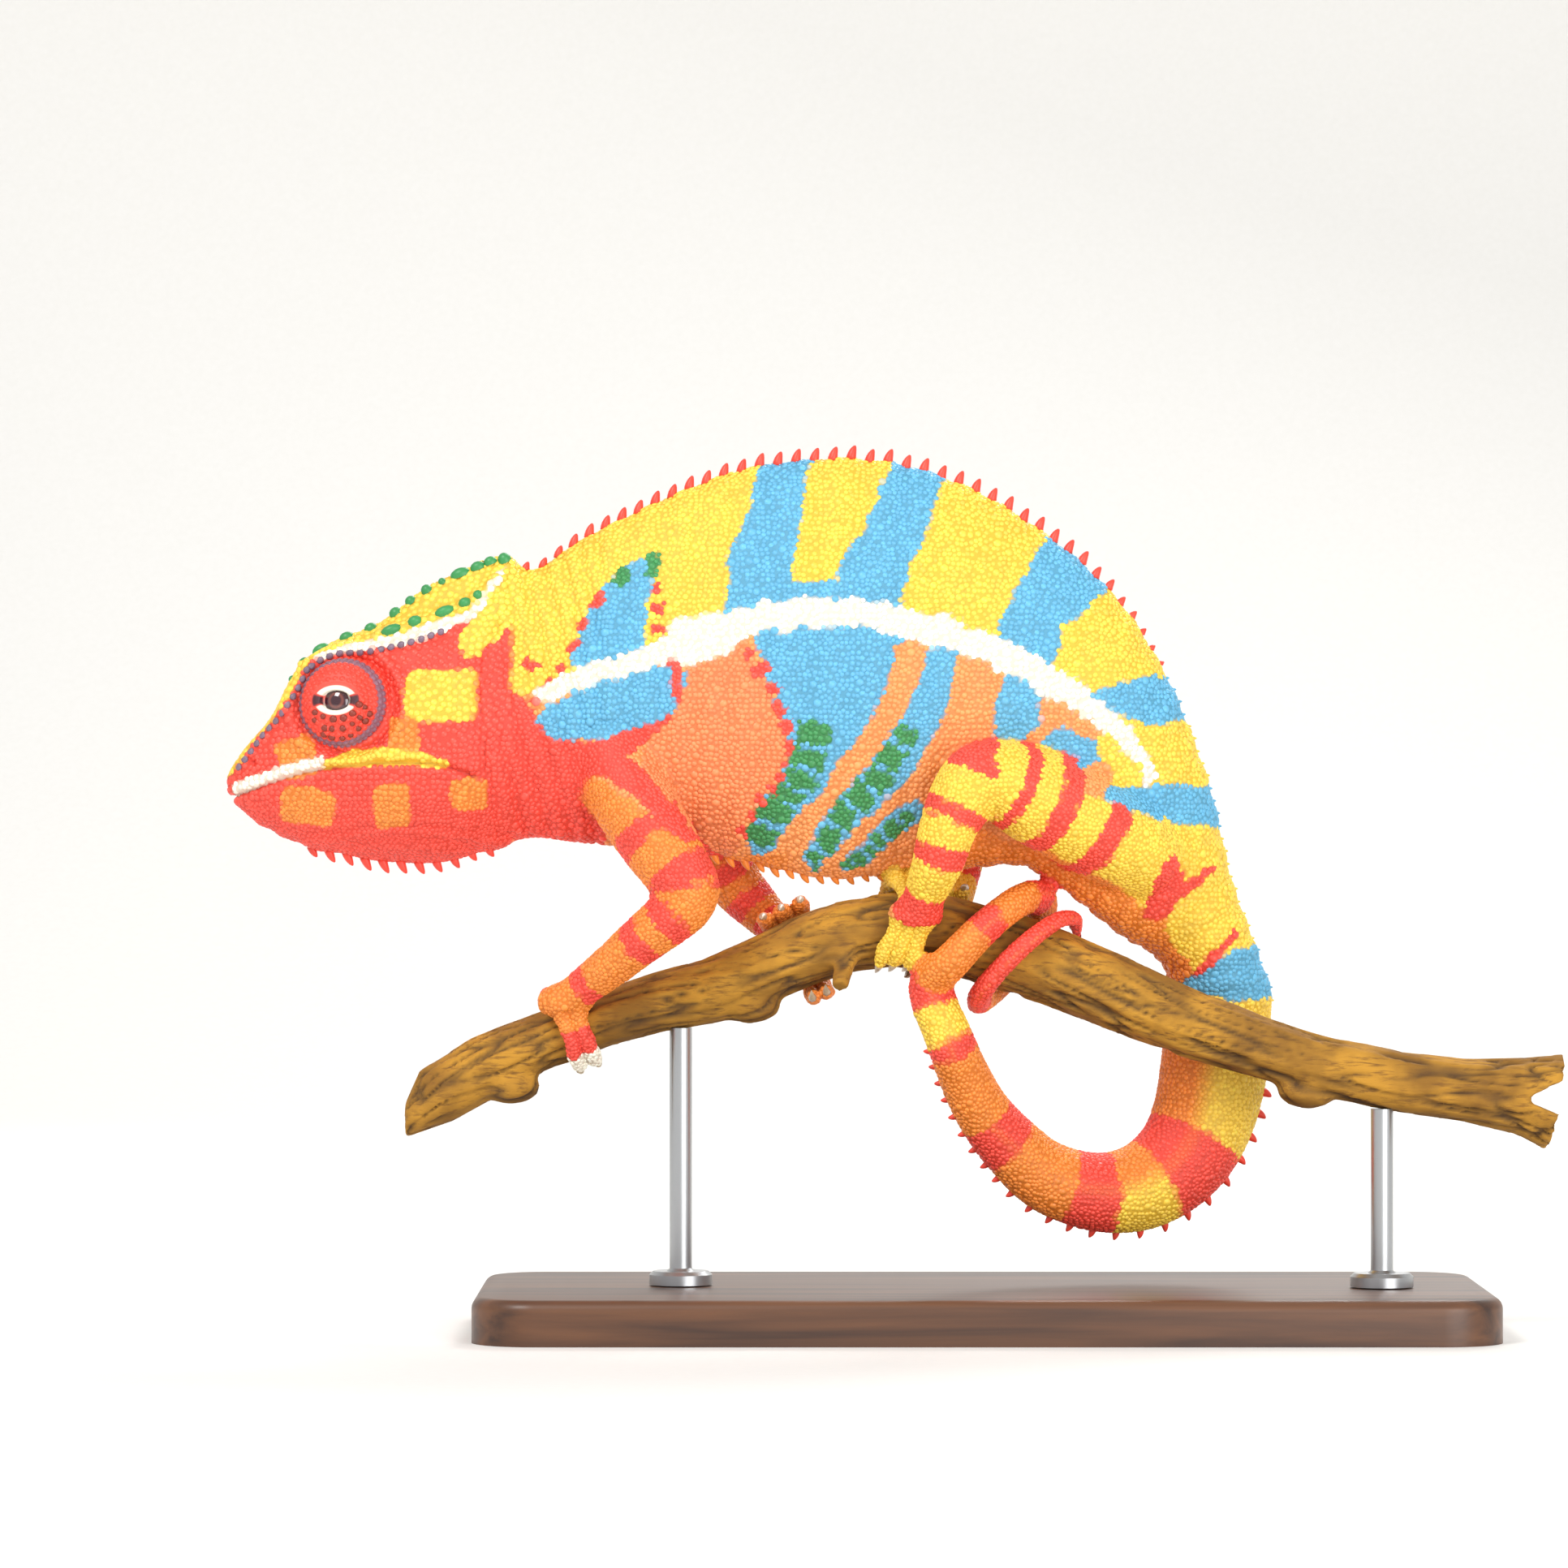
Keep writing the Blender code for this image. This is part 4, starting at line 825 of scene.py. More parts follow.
# scales: small domes packed side by side over the skin
scaleSizes = dict(  # radii in millimetres; gap and bigGap: how far apart, in radii
    trunk=0.55, head=0.60, cheek=0.74, throat=0.46, limb=0.47, toe=0.42, tail=0.48, stripe=0.62, height=0.55,
    overlap=1.18, candidates=7.0, bigShare=0.035, bigSize=1.55, gap=1.62, bigGap=1.45)


def scaleRadius(points, place):
    x, z = points[:, 0], points[:, 2]
    stripe, _ = lineDistance(x, z, sideStripe["line"], 140)
    size = np.full(len(points), scaleSizes["trunk"])
    for where, name in ((stripe < 3.2, "stripe"), (x < headEnd, "head"), ((x < headEnd) & (z > 130), "cheek"),
                        ((x < headEnd) & (z < 118), "throat"), (place["part"] == 1, "tail"),
                        (place["part"] > 1, "limb"), (place["toe"] >= 0, "toe")):
        size[where] = scaleSizes[name]
    return np.where((sideGap(x, z, eyeMiddle) < 13) & (place["part"] == 0), size * 0.8, size)


def packedPoints():
    # candidates spread over the skin, thinned until none is closer than its own size
    rng = np.random.default_rng(7)
    skinMesh.calc_loop_triangles()
    tris = np.empty(len(skinMesh.loop_triangles) * 3, int)
    skinMesh.loop_triangles.foreach_get("vertices", tris)
    tris = tris.reshape(-1, 3)
    a, b, c = (skinCo[tris[:, k]] for k in range(3))
    area = np.linalg.norm(np.cross(b - a, c - a), axis=1) / 2
    size = scaleRadius(skinCo, skinPlace)[tris[:, 0]]
    wanted = area / (3.46 * size ** 2) * scaleSizes["candidates"]
    copies = np.floor(wanted + rng.random(len(wanted))).astype(int)
    index = np.repeat(np.arange(len(tris)), copies)
    u, v = rng.random(len(index)), rng.random(len(index))
    flip = u + v > 1
    u[flip], v[flip] = 1 - u[flip], 1 - v[flip]
    points = a[index] + (b - a)[index] * u[:, None] + (c - a)[index] * v[:, None]
    shares = zip(tris[index].T, (1 - u - v, u, v))
    normal = sum(skinNormals[corners] * share[:, None] for corners, share in shares)
    normal /= np.linalg.norm(normal, axis=1)[:, None]
    radius = size[index] * rng.uniform(0.9, 1.12, len(index))
    big = rng.random(len(index)) < scaleSizes["bigShare"] / scaleSizes["candidates"]
    big &= points[:, 0] > headEnd
    radius[big] *= scaleSizes["bigSize"]
    order = np.concatenate([np.flatnonzero(big), np.flatnonzero(~big)])
    tree = KDTree(len(points))
    for i, point in enumerate(points):
        tree.insert(point, i)
    tree.balance()
    gone = np.zeros(len(points), bool)
    kept = []
    for i in order:
        if gone[i]:
            continue
        kept.append(i)
        reach = radius[i] * scaleSizes["bigGap" if big[i] else "gap"]
        for _, other, _ in tree.find_range(points[i], reach):
            if other != i:
                gone[other] = True
    kept = np.array(kept)
    return points[kept], normal[kept], radius[kept]


points, normal, radius = packedPoints()
print("scales placed:", len(points))


def asTemplate(bm):
    # vertices and triangles as arrays, to be copied many times
    bm.verts.index_update()
    verts = np.array([v.co for v in bm.verts])
    faces = np.array([[v.index for v in f.verts] for f in bm.faces])
    bm.free()
    return verts, faces


def domeTemplate(sides, rings, sunk, flat):
    # a low dome, flattened on top, whose rim lies under the skin
    bm = bmesh.new()
    bmesh.ops.create_uvsphere(bm, u_segments=sides, v_segments=rings, radius=1)
    bmesh.ops.bisect_plane(bm, geom=bm.verts[:] + bm.edges[:] + bm.faces[:], plane_co=(0, 0, -0.001),
                           plane_no=(0, 0, 1), clear_inner=True)
    bmesh.ops.remove_doubles(bm, verts=bm.verts, dist=0.01)
    for vert in bm.verts:
        level = vert.co.z
        vert.co.xy *= 1 + flat * level
        vert.co.z = level * (1 - flat * level) - sunk
    bmesh.ops.triangulate(bm, faces=bm.faces)
    return asTemplate(bm)


mapPatch = 0.0015  # half of each copy's patch of the colour map


def scatterMesh(name, template, points, normals, sizes, heights, alongs, colours, roots, material):
    # one template copied to every root, with its patch of colour map at the root's place
    verts, faces = template
    count, per = len(points), len(verts)
    side = np.cross(normals, alongs)
    side /= np.linalg.norm(side, axis=1)[:, None] + 1e-9
    ahead = np.cross(side, normals)
    axes = (ahead, side, normals)
    spans = (sizes[:, 0], sizes[:, 1], heights)
    where = points[:, None, :] + sum(axis[:, None, :] * (verts[None, :, k:k + 1] * span[:, None, None])
                                     for k, (axis, span) in enumerate(zip(axes, spans)))
    allFaces = (faces[None, :, :] + (np.arange(count) * per)[:, None, None]).reshape(-1, 3)
    mesh = bpy.data.meshes.new(name)
    mesh.from_pydata((where.reshape(-1, 3) * mm).tolist(), [], allFaces.tolist())
    mesh.shade_smooth()
    storeColours(mesh, np.repeat(colours, per, axis=0))
    layer = mesh.uv_layers.new(name="OFBake")
    spread = np.abs(verts[:, :2]).max()
    uv = roots[:, None, :] + verts[None, :, :2] / spread * mapPatch
    copy, vertex = np.repeat(np.arange(count), len(faces) * 3), np.tile(faces.ravel(), count)
    layer.data.foreach_set("uv", uv[copy, vertex].ravel())
    mesh.materials.append(material)
    piece = bpy.data.objects.new(name, mesh)
    bpy.context.scene.collection.objects.link(piece)
    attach(piece, "root")
    return piece


def onMap(along, turn):
    # places on the colour map, kept off its edges
    return np.stack([0.02 + 0.96 * along, 0.02 + 0.96 * turn], 1)


def heading(samples, index):
    # the direction of a sampled path there
    return samples[np.minimum(index + 1, len(samples) - 1), :3] - samples[np.maximum(index - 1, 0), :3]


def around(points, place):
    # unrolls head, body, tail and limbs: along their length, and round their middle line
    middles = spline(ribRows, place["place"])
    middleX, middleZ = (middles[:, 0] + middles[:, 2]) / 2, (middles[:, 1] + middles[:, 3]) / 2
    upX, upZ = middles[:, 0] - middles[:, 2], middles[:, 1] - middles[:, 3]
    length = np.hypot(upX, upZ)
    rise = ((points[:, 0] - middleX) * upX + (points[:, 2] - middleZ) * upZ) / length
    turn = np.arctan2(points[:, 1] - middles[:, 8], rise)
    along = place["place"] / (len(ribRows) - 1)
    for number, name in enumerate(["tail"] + list(limbs)):
        samples, walked = paths[name]
        here = place["part"] == number + 1
        if not here.any():
            continue
        index, _ = nearest(points[here], samples)
        centre = samples[index, :3]
        ahead = heading(samples, index)
        ahead /= np.linalg.norm(ahead, axis=1)[:, None]
        across = np.cross(ahead, np.array([0.0, 1.0, 0.0]))
        across /= np.linalg.norm(across, axis=1)[:, None] + 1e-9
        upward = np.cross(ahead, across)
        off = points[here] - centre
        turn[here] = np.arctan2((off * across).sum(1), (off * upward).sum(1))
        along[here] = walked[index] / walked[-1]
    return along, (turn / (2 * np.pi) + 0.5)


place = whereabouts(points)
x, z = points[:, 0], points[:, 2]
onBody, onSide = place["part"] == 0, np.abs(normal[:, 1]) > 0.5
hidden = onBody & (x < -91) & (np.abs(z - mouthLevel(x)) < 0.5)  # no scales in the mouth line,
hidden |= onBody & (sideGap(x, z, eyeMiddle) < 9.2) & onSide & (x < -100)  # under the eyes
hidden |= (sideGap(x, z, nostrilMiddle) < 0.7) & onSide  # or in the nostrils
keep = ~hidden
points, normal, radius = points[keep], normal[keep], radius[keep]
place = {key: value[keep] for key, value in place.items()}
colours = markings(points, normal, place)
rng = np.random.default_rng(3)
colours *= rng.uniform(0.90, 1.10, len(colours))[:, None]
colours = np.clip(colours + (colours.mean(1) * 0.05)[:, None], 0, 1)
along, turn = around(points, place)
lengthwise = np.tile(np.array([1.0, 0.0, 0.3]), (len(points), 1))
for number, name in enumerate(["tail"] + list(limbs)):
    here = place["part"] == number + 1
    samples = paths[name][0]
    index, _ = nearest(points[here], samples)
    lengthwise[here] = heading(samples, index)
spin = rng.uniform(-0.6, 0.6, (len(points), 3))
lengthwise = lengthwise / np.linalg.norm(lengthwise, axis=1)[:, None] + spin
half = radius * scaleSizes["overlap"]
stretches = [rng.uniform(low, high, len(points)) for low, high in ((0.92, 1.12), (0.88, 1.05))]
sizes = np.stack([half * stretch for stretch in stretches], 1)
heights = radius * scaleSizes["height"] * rng.uniform(0.8, 1.2, len(points)) + 0.08
part = place["part"]
onHead = (part == 0) & (points[:, 0] < headEnd)
groups = {
    "scalesHead": onHead,
    "scalesFlankLeft": (part == 0) & ~onHead & (points[:, 1] < 0),
    "scalesFlankRight": (part == 0) & ~onHead & (points[:, 1] >= 0),
    "scalesTail": part == 1,
    "scalesForelimbs": (part == 2) | (part == 3),
    "scalesHindlimbs": part > 3,
}
dome = domeTemplate(6, 4, 0.3, 0.12)
for name, group in groups.items():
    roots = onMap(along[group], turn[group])
    if "limbs" in name:  # two limbs share the map, one above the other
        second = (part[group] % 2) * 0.5
        roots[:, 1] = roots[:, 1] * 0.48 + second + 0.01
    rows = (column[group] for column in (points, normal, sizes, heights, lengthwise, colours))
    piece = scatterMesh(name, dome, *rows, roots, scaleMaterial)
    print(name, int(group.sum()), "scales,", int(group.sum()) * len(dome[1]), "triangles")


# crest cones and knobby scales
def coneTemplate(lean, blunt, sides=8, rings=7, sunk=0.12):
    # a cone that leans along the animal as it rises; blunt 1 makes it a dome
    bm = bmesh.new()
    loft = []
    for share in np.sin(np.linspace(0, math.pi / 2, rings)):
        radius = (1 - share) ** 0.85 * (1 - blunt) + blunt * math.sqrt(1 - 0.98 * share ** 2.4)
        middle = lean * share ** 2
        loft.append([Vector((middle + radius * math.cos(t), radius * math.sin(t), share - sunk))
                     for t in fullTurn(sides)])
    ringLoft(bm, loft)
    bmesh.ops.triangulate(bm, faces=bm.faces)
    bmesh.ops.recalc_face_normals(bm, faces=bm.faces)
    return asTemplate(bm)


def onSkin(point, outward, reach=22):
    # where a line from outside meets the skin, and the skin's direction there
    start = Vector(point) + Vector(outward).normalized() * reach
    hit, facing, _, _ = skinTree.ray_cast(start, -Vector(outward).normalized(), reach * 2)
    return hit, facing


def evenly(points, spacing):
    # places every so many mm along a line of points, with the direction of the line
    points = np.asarray(points, float)
    walked = np.concatenate([[0], np.cumsum(np.linalg.norm(np.diff(points, axis=0), axis=1))])
    wanted = np.arange(spacing / 2, walked[-1], spacing)
    places = np.stack([np.interp(wanted, walked, column) for column in points.T], 1)
    ahead = np.stack([np.interp(wanted + 0.5, walked, column) for column in points.T], 1) - places
    return places, ahead, wanted / walked[-1]


crest = dict(spacing=4.1, dorsal=3.2, dorsalBase=1.15, tailHeight=2.2, tailBase=1.05, gular=3.2,
             gularBase=1.05, gularSpacing=4.0, belly=2.5, bellyBase=0.9, bellySpacing=3.4, rumpSpacing=3.0,
             rumpSize=0.42, tubercle=1.0)
grown = []  # place, up, ahead, base size, height, colour name


def growCone(hit, up, ahead, base, height, colour):
    grown.append((tuple(hit), tuple(up), tuple(ahead), base, height, colour))


def columns(rows, count):
    return [np.array([row[k] for row in rows]) for k in range(count)]


# along the back
rows = spline(ribRows, np.linspace(ribAt["casqueTip"] + 0.5, ribAt["hip"] - 0.2, 300))
ribUp = [(r[0] - r[2], 0, r[1] - r[3]) for r in rows]
for spot, forward, share in zip(*evenly([(r[0], r[8], r[1]) for r in rows], crest["spacing"])):
    up = Vector(ribUp[int(share * (len(rows) - 1))]).normalized()
    hit, _ = onSkin(spot, up)
    if hit:
        fade = min(1.0, 0.55 + share * 5) * min(1.0, (1.0 - share) * 4 + 0.25)
        growCone(hit, up, forward, crest["dorsalBase"] * (0.6 + 0.4 * fade), crest["dorsal"] * fade, "red")
# over the rump, where they take the skin's colour, and outside the tail's loop
rows = spline(ribRows, np.linspace(ribAt["hip"] - 0.2, len(ribRows) - 1, 160))
rumpLine = [(r[0], r[8], r[1]) for r in rows]
rumpLine += [tuple(r[:3]) for r in spline(tailRows, np.linspace(0.4, 0.9, 20))]
loopLine = [tuple(r[:3]) for r in spline(tailRows, np.linspace(0.9, 10.0, 200))]
loopMiddle = (42, 66)
for line, colour, spacing, grownBy in ((rumpLine, None, crest["rumpSpacing"], crest["rumpSize"]),
                                       (loopLine, "red", crest["spacing"], 1.0)):
    for spot, forward, share in zip(*evenly(line, spacing)):
        out = Vector((spot[0] - loopMiddle[0], 0, spot[2] - loopMiddle[1])).normalized()
        tangent = Vector(forward).normalized()
        out = (out - tangent * out.dot(tangent)).normalized()
        hit, _ = onSkin(spot, out)
        if hit:
            smaller = grownBy * (1.05 - 0.35 * share)
            growCone(hit, out, forward, crest["tailBase"] * smaller, crest["tailHeight"] * smaller, colour)
# under throat and belly
for name, first, last, colour in (("gular", ribAt["brow"] - 0.5, ribAt["casqueTip"] + 0.1, "red"),
                                  ("belly", ribAt["withers"] - 0.6, ribAt["loin"] + 0.4, "orange")):
    rows = spline(ribRows, np.linspace(first, last, 200))
    for spot, forward, share in zip(*evenly([(r[2], 0, r[3]) for r in rows], crest[name + "Spacing"])):
        hit, _ = onSkin(spot, (0, 0, -1))
        if hit:
            swell = 0.55 + 0.5 * math.sin(math.pi * min(1, share + 0.12))
            base = crest[name + "Base"] * (0.7 + 0.3 * swell)
            growCone(hit, (0.25, 0, -1), forward, base, crest[name] * swell, colour)
# violet tubercles from the snout over each eye
for line, spacing, share in (("canthal", 2.2, 0.85), ("orbital", 2.3, 0.9)):
    dots = [(a, 0, b) for a, b in linePoints(headLines[line][0])]
    size = crest["tubercle"] * share
    for spot, forward, _ in zip(*evenly(dots, spacing)):
        for side in (-1, 1):
            hit, facing = onSkin((spot[0], 0, spot[2]), (0, side, 0), 40)
            if hit:
                up = (Vector(facing) + Vector((0, 0, 0.5))).normalized()
                growCone(hit, up, forward, size, size * 0.85, "mauve")
spots, ups, aheads, bases, tall = columns(grown, 5)
conePlace = whereabouts(spots)
beneath = markings(spots, ups, conePlace)
coneColours = np.array([under if g[5] is None else paint[g[5]] for g, under in zip(grown, beneath)])
coneColours *= rng.uniform(0.88, 1.1, len(grown))[:, None]
crestPiece = scatterMesh("crests", coneTemplate(0.6, 0.72), spots, ups, np.stack([bases, bases], 1), tall,
                         aheads, np.clip(coneColours, 0, 1), onMap(*around(spots, conePlace)), scaleMaterial)
# the green knobs of the casque
casqueKnobs = dict(  # X, Z, half length, half width
    roof=[(-132.8, 144.4, 0.9, 0.7), (-130.9, 148.3, 1.6, 1.1), (-127.2, 151.8, 2.2, 1.3),
          (-121.1, 153.9, 1.8, 1.3), (-115.9, 156.1, 1.6, 1.3), (-110.4, 159.4, 1.6, 1.4),
          (-107.2, 162.2, 1.4, 1.3), (-103.7, 164.8, 1.4, 1.4), (-100.3, 166.9, 1.0, 1.0),
          (-96.2, 168.6, 2.4, 1.4), (-92.2, 169.9, 1.8, 1.3), (-89.4, 171.0, 1.6, 1.3),
          (-86.4, 172.0, 1.6, 1.6)],
    side=[(-110.9, 154.4, 2.5, 1.25), (-105.7, 156.3, 1.7, 1.3), (-99.1, 158.5, 2.4, 1.25),
          (-94.7, 160.4, 1.5, 1.25), (-91.8, 162.2, 1.2, 1.15)])
knobs = []
for row, members in casqueKnobs.items():
    for one, (a, b, length, width) in enumerate(members):
        near, far = members[min(one + 1, len(members) - 1)], members[max(one - 1, 0)]
        ahead = Vector((near[0] - far[0], 0, near[1] - far[1])).normalized()
        for side in (-1, 1):
            spread, out = 0, Vector((0, side, 0.15))
            if row == "roof":  # the two rows part towards the snout
                spread, out = side * (3.6 - 2.4 * min(1, one / 5)), Vector((-ahead.z, 0.25 * side, ahead.x))
            hit, facing = onSkin((a, spread, b), out, 30)
            if hit:
                up = (out.normalized() + facing * 0.5).normalized()
                knobs.append((tuple(hit), tuple(up), tuple(ahead), length, width))
spots, ups, aheads, lengths, widths = columns(knobs, 5)
knobColours = paint["green"] * rng.uniform(0.9, 1.12, len(knobs))[:, None]
knob = domeTemplate(10, 8, 0.15, 0.0)
knobPiece = scatterMesh("casqueKnobs", knob, spots, ups, np.stack([lengths, widths], 1), widths * 1.15,
                        aheads, knobColours, onMap(*around(spots, whereabouts(spots))), scaleMaterial)
print("crests grown:", len(grown), "cones and knobs")


# eye turrets, with lids, granules in rings, and a wet dark eye inside
turret = dict(
    profile=[(10.8, -4.0), (10.7, -1.5), (10.5, 0.8), (9.9, 3.2), (8.8, 5.4), (7.1, 7.1), (5.4, 8.1),
             (4.3, 8.5), (3.5, 8.8), (3.0, 8.85), (2.7, 8.55), (2.6, 7.6)],  # distance from the axis, height
    stretch=0.30, wrinkle=0.10, wrinklesApart=1.5, ringStep=1.3, granule=0.72, ballRadius=5.2, ballDepth=3.2)
# soft skin of the lids: finely grained, a little translucent
lidMaterial, *_ = pigmented(
    "lidSkin", {"Roughness": 0.5, "Subsurface Weight": 0.05, "Subsurface Radius": (0.003, 0.001, 0.0005)},
    "ShaderNodeTexVoronoi", "Distance", 0.4, 0.3, 0.1, invert=True)
# wet cornea over a dark iris: mirror-like highlight under a clear coat
eyeMaterial, tree, shader = newMaterial("wetEye", {"Roughness": 0.08, "Coat Weight": 1.0,
                                                   "Coat Roughness": 0.02})
pigment = addNode(tree, "ShaderNodeAttribute", attribute_name="markings")
tree.links.new(pigment.outputs["Color"], shader.inputs["Base Color"])
eyeDots = []  # the brown grains low on the lids: distance out, turn, half size
for ring, first in ((4.9, -146), (6.5, -134), (8.0, -116)):
    for turn in np.arange(first, -5, math.degrees(2.25 / ring)):
        eyeDots.append((ring + rng.uniform(-0.25, 0.25), math.radians(turn + rng.uniform(-4, 4)),
                        rng.uniform(0.55, 0.9)))


def turretColour(radius, turn):
    # a grey violet ring at the base, red above it, dark corners and a cream edge over and under
    corner = np.abs(np.sin(turn))
    colour = np.tile(paint["red"], (len(radius), 1))
    colour = mix(colour, "mauve", ringMask(radius, 8.75, 9.85, 0.12) * 0.9)
    colour = mix(colour, "umber", smoothStep(4.6, 4.2, radius) * smoothStep(0.42, 0.3, corner))
    return mix(colour, "cream", smoothStep(4.0, 3.75, radius) * smoothStep(0.42, 0.52, corner))


def slit(x, y):
    # the opening between the lids is wider than high
    near = turret["stretch"] * smoothStep(7.5, 3.0, np.hypot(x, y))
    return x * (1 + near), y * (1 - near * 0.55)


def eyeAxes(side):
    # a turret's own axes, looking out along its Z
    forward = math.radians(eye["forwardDegrees"])
    aim = Vector((-math.sin(forward), side * math.cos(forward), eye["lift"])).normalized()
    level = Vector((0, 0, 1)).cross(aim).normalized()
    if level.x < 0:
        level = -level
    upward = (Vector((0, 0, 1)) - aim * aim.z).normalized()
    axes = Matrix((level, upward, aim)).transposed().to_4x4()
    axes.translation = Vector((eye["centre"][0], side * eye["centre"][1], eye["centre"][2]))
    return axes, level


def placeOnFace(bm, axes):
    bmesh.ops.transform(bm, matrix=axes, verts=bm.verts)
    inMetres(bm)


profile = spline(turret["profile"], np.linspace(0, len(turret["profile"]) - 1, 34))
walked = np.concatenate([[0], np.cumsum(np.hypot(*np.diff(profile, axis=0).T))])
step = turret["ringStep"]
for side, name in ((-1, "Left"), (1, "Right")):
    axes, level = eyeAxes(side)
    turned = axes.to_3x3()
    bm = bmesh.new()
    lathe(bm, [(r, 0, h) for r, h in profile], (0, 0, 0), 72)
    bmesh.ops.holes_fill(bm, edges=bm.edges)
    polar = []
    for vert in bm.verts:
        px, py, h = vert.co
        out = math.hypot(px, py)
        polar.append((out, math.atan2(py, px)))
        wrinkle = turret["wrinkle"] * math.sin(out * 2 * math.pi / turret["wrinklesApart"])
        vert.co = (*slit(px, py), h + wrinkle * smoothStep(3.2, 4.2, out))
    placeOnFace(bm, axes)
    lid = asObject("eyelid" + name, bm, lidMaterial)
    storeColours(lid.data, turretColour(*np.array(polar).T))
    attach(lid, "root")
    # granules in rings
    granules = []
    for distance in np.arange(1.2, walked[-1] - 2.6, step):
        (r, h), (r2, h2) = ([np.interp(at, walked, column) for column in profile.T]
                            for at in (distance, distance + 0.3))
        count = max(8, round(2 * math.pi * r / (step * 1.1)))
        size = min(turret["granule"], math.pi * r / count * 1.08)
        for k in range(count):
            turn = 2 * math.pi * (k + 0.5 * (int(distance / step) % 2)) / count
            out = Vector((math.cos(turn) * (h - h2), math.sin(turn) * (h - h2), r2 - r)) * -1
            spot = Vector((*slit(r * math.cos(turn), r * math.sin(turn)), h))
            granules.append((axes @ spot, (turned @ out).normalized(), size * rng.uniform(0.9, 1.08), r, turn,
                             distance / walked[-1], (k + 0.5) / count))
    spots, ups, radii, out, turns, alongMap, roundMap = columns(granules, 7)
    colour = turretColour(out, turns) * rng.uniform(0.88, 1.08, len(granules))[:, None]
    coat = scatterMesh("eyeGranules" + name, dome, spots, ups, np.stack([radii, radii], 1), radii * 0.75,
                       np.tile(tuple(level), (len(spots), 1)), np.clip(colour, 0, 1),
                       onMap(alongMap, roundMap), scaleMaterial)
    # brown grains on the lower lid
    dots = []
    for ring, turn, size in eyeDots:
        distance = np.interp(-ring, -profile[8:, 0], walked[8:])
        h, h2 = np.interp([distance, distance + 0.3], walked, profile[:, 1])
        r2 = np.interp(distance + 0.3, walked, profile[:, 0])
        spot = Vector((*slit(ring * math.cos(turn), ring * math.sin(turn)), h))
        out = Vector((math.cos(turn) * (h2 - h), math.sin(turn) * (h2 - h), ring - r2))
        dots.append((axes @ spot, (turned @ out).normalized(), size,
                     (0.02 + 0.96 * distance / walked[-1], 0.5 + turn / (2 * math.pi))))
    spots, ups, radii, roots = columns(dots, 4)
    colour = paint["brown"] * rng.uniform(0.9, 1.1, len(spots))[:, None]
    alongs = np.tile(tuple(level), (len(spots), 1))
    grains = scatterMesh("eyeSpots" + name, knob, spots, ups, np.stack([radii * 1.1, radii], 1),
                         radii * 0.3 + 0.45, alongs, colour, roots, scaleMaterial)
    # eyeball: dark, with a copper ring round the pupil
    bm = bmesh.new()
    bmesh.ops.create_uvsphere(bm, u_segments=48, v_segments=32, radius=turret["ballRadius"])
    reach = np.array([vert.co.angle(Vector((0, 0, 1))) * turret["ballRadius"] for vert in bm.verts])
    bmesh.ops.translate(bm, vec=(0, 0, turret["ballDepth"]), verts=bm.verts)
    placeOnFace(bm, axes)
    ball = asObject("eyeball" + name, bm, eyeMaterial)
    tint = np.tile(paint["pupil"], (len(reach), 1))
    tint = mix(tint, "copper", ringMask(reach, 1.5, 1.75, 0.1))
    storeColours(ball.data, mix(tint, "umber", smoothStep(2.5, 2.7, reach)))
    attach(ball, "root")
    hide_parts("eye_" + name.lower())
print("eyes set")


# claws, curved over the bark
# horn: smooth, pale, with a soft shine and darker streaks
hornMaterial, tree, shader = newMaterial("clawHorn", {"Roughness": 0.32, "Coat Weight": 0.3,
                                                      "Coat Roughness": 0.2})
coords = addNode(tree, "ShaderNodeTexCoord")
streak = addNode(tree, "ShaderNodeTexNoise", {"Scale": 1 / (0.9 * mm), "Detail": 3.0},
                 {"Vector": coords.outputs["Object"]})
tone = addNode(tree, "ShaderNodeValToRGB", {}, {"Fac": streak.outputs["Fac"]},
               [(0, "#8F7355"), (1, "#E2D2B4")])
tree.links.new(tone.outputs["Color"], shader.inputs["Base Color"])
claws = []
for limb in limbs.values():
    for path in toesOf(limb):
        ahead = (path[-1] - path[-2]).normalized()
        centre, _ = branchAt(path[-1].x)
        root = path[-1] + ahead * 0.9 + (path[-1] - centre).normalized() * 0.35
        claws.append((root, ahead, centre - path[-1]))
spots, ups, inwards = columns(claws, 3)
count = len(claws)
thick, tall = np.full((count, 2), foot["clawRadius"]), np.full(count, foot["clawLength"] * 0.86)
dark = np.tile([0.2, 0.12, 0.08], (count, 1))
clawPiece = scatterMesh("claws", coneTemplate(1.15, 0.06), spots, ups, thick, tall, inwards, dark,
                        np.full((count, 2), 0.5), hornMaterial)
print("claws set:", len(claws))


# the cut branch: bark with fissures along the grain
bark = dict(voxel=0.8, fissure=1.0, fissureWidth=2.6, lump=0.8, sunk=0.12, twist=0.006)
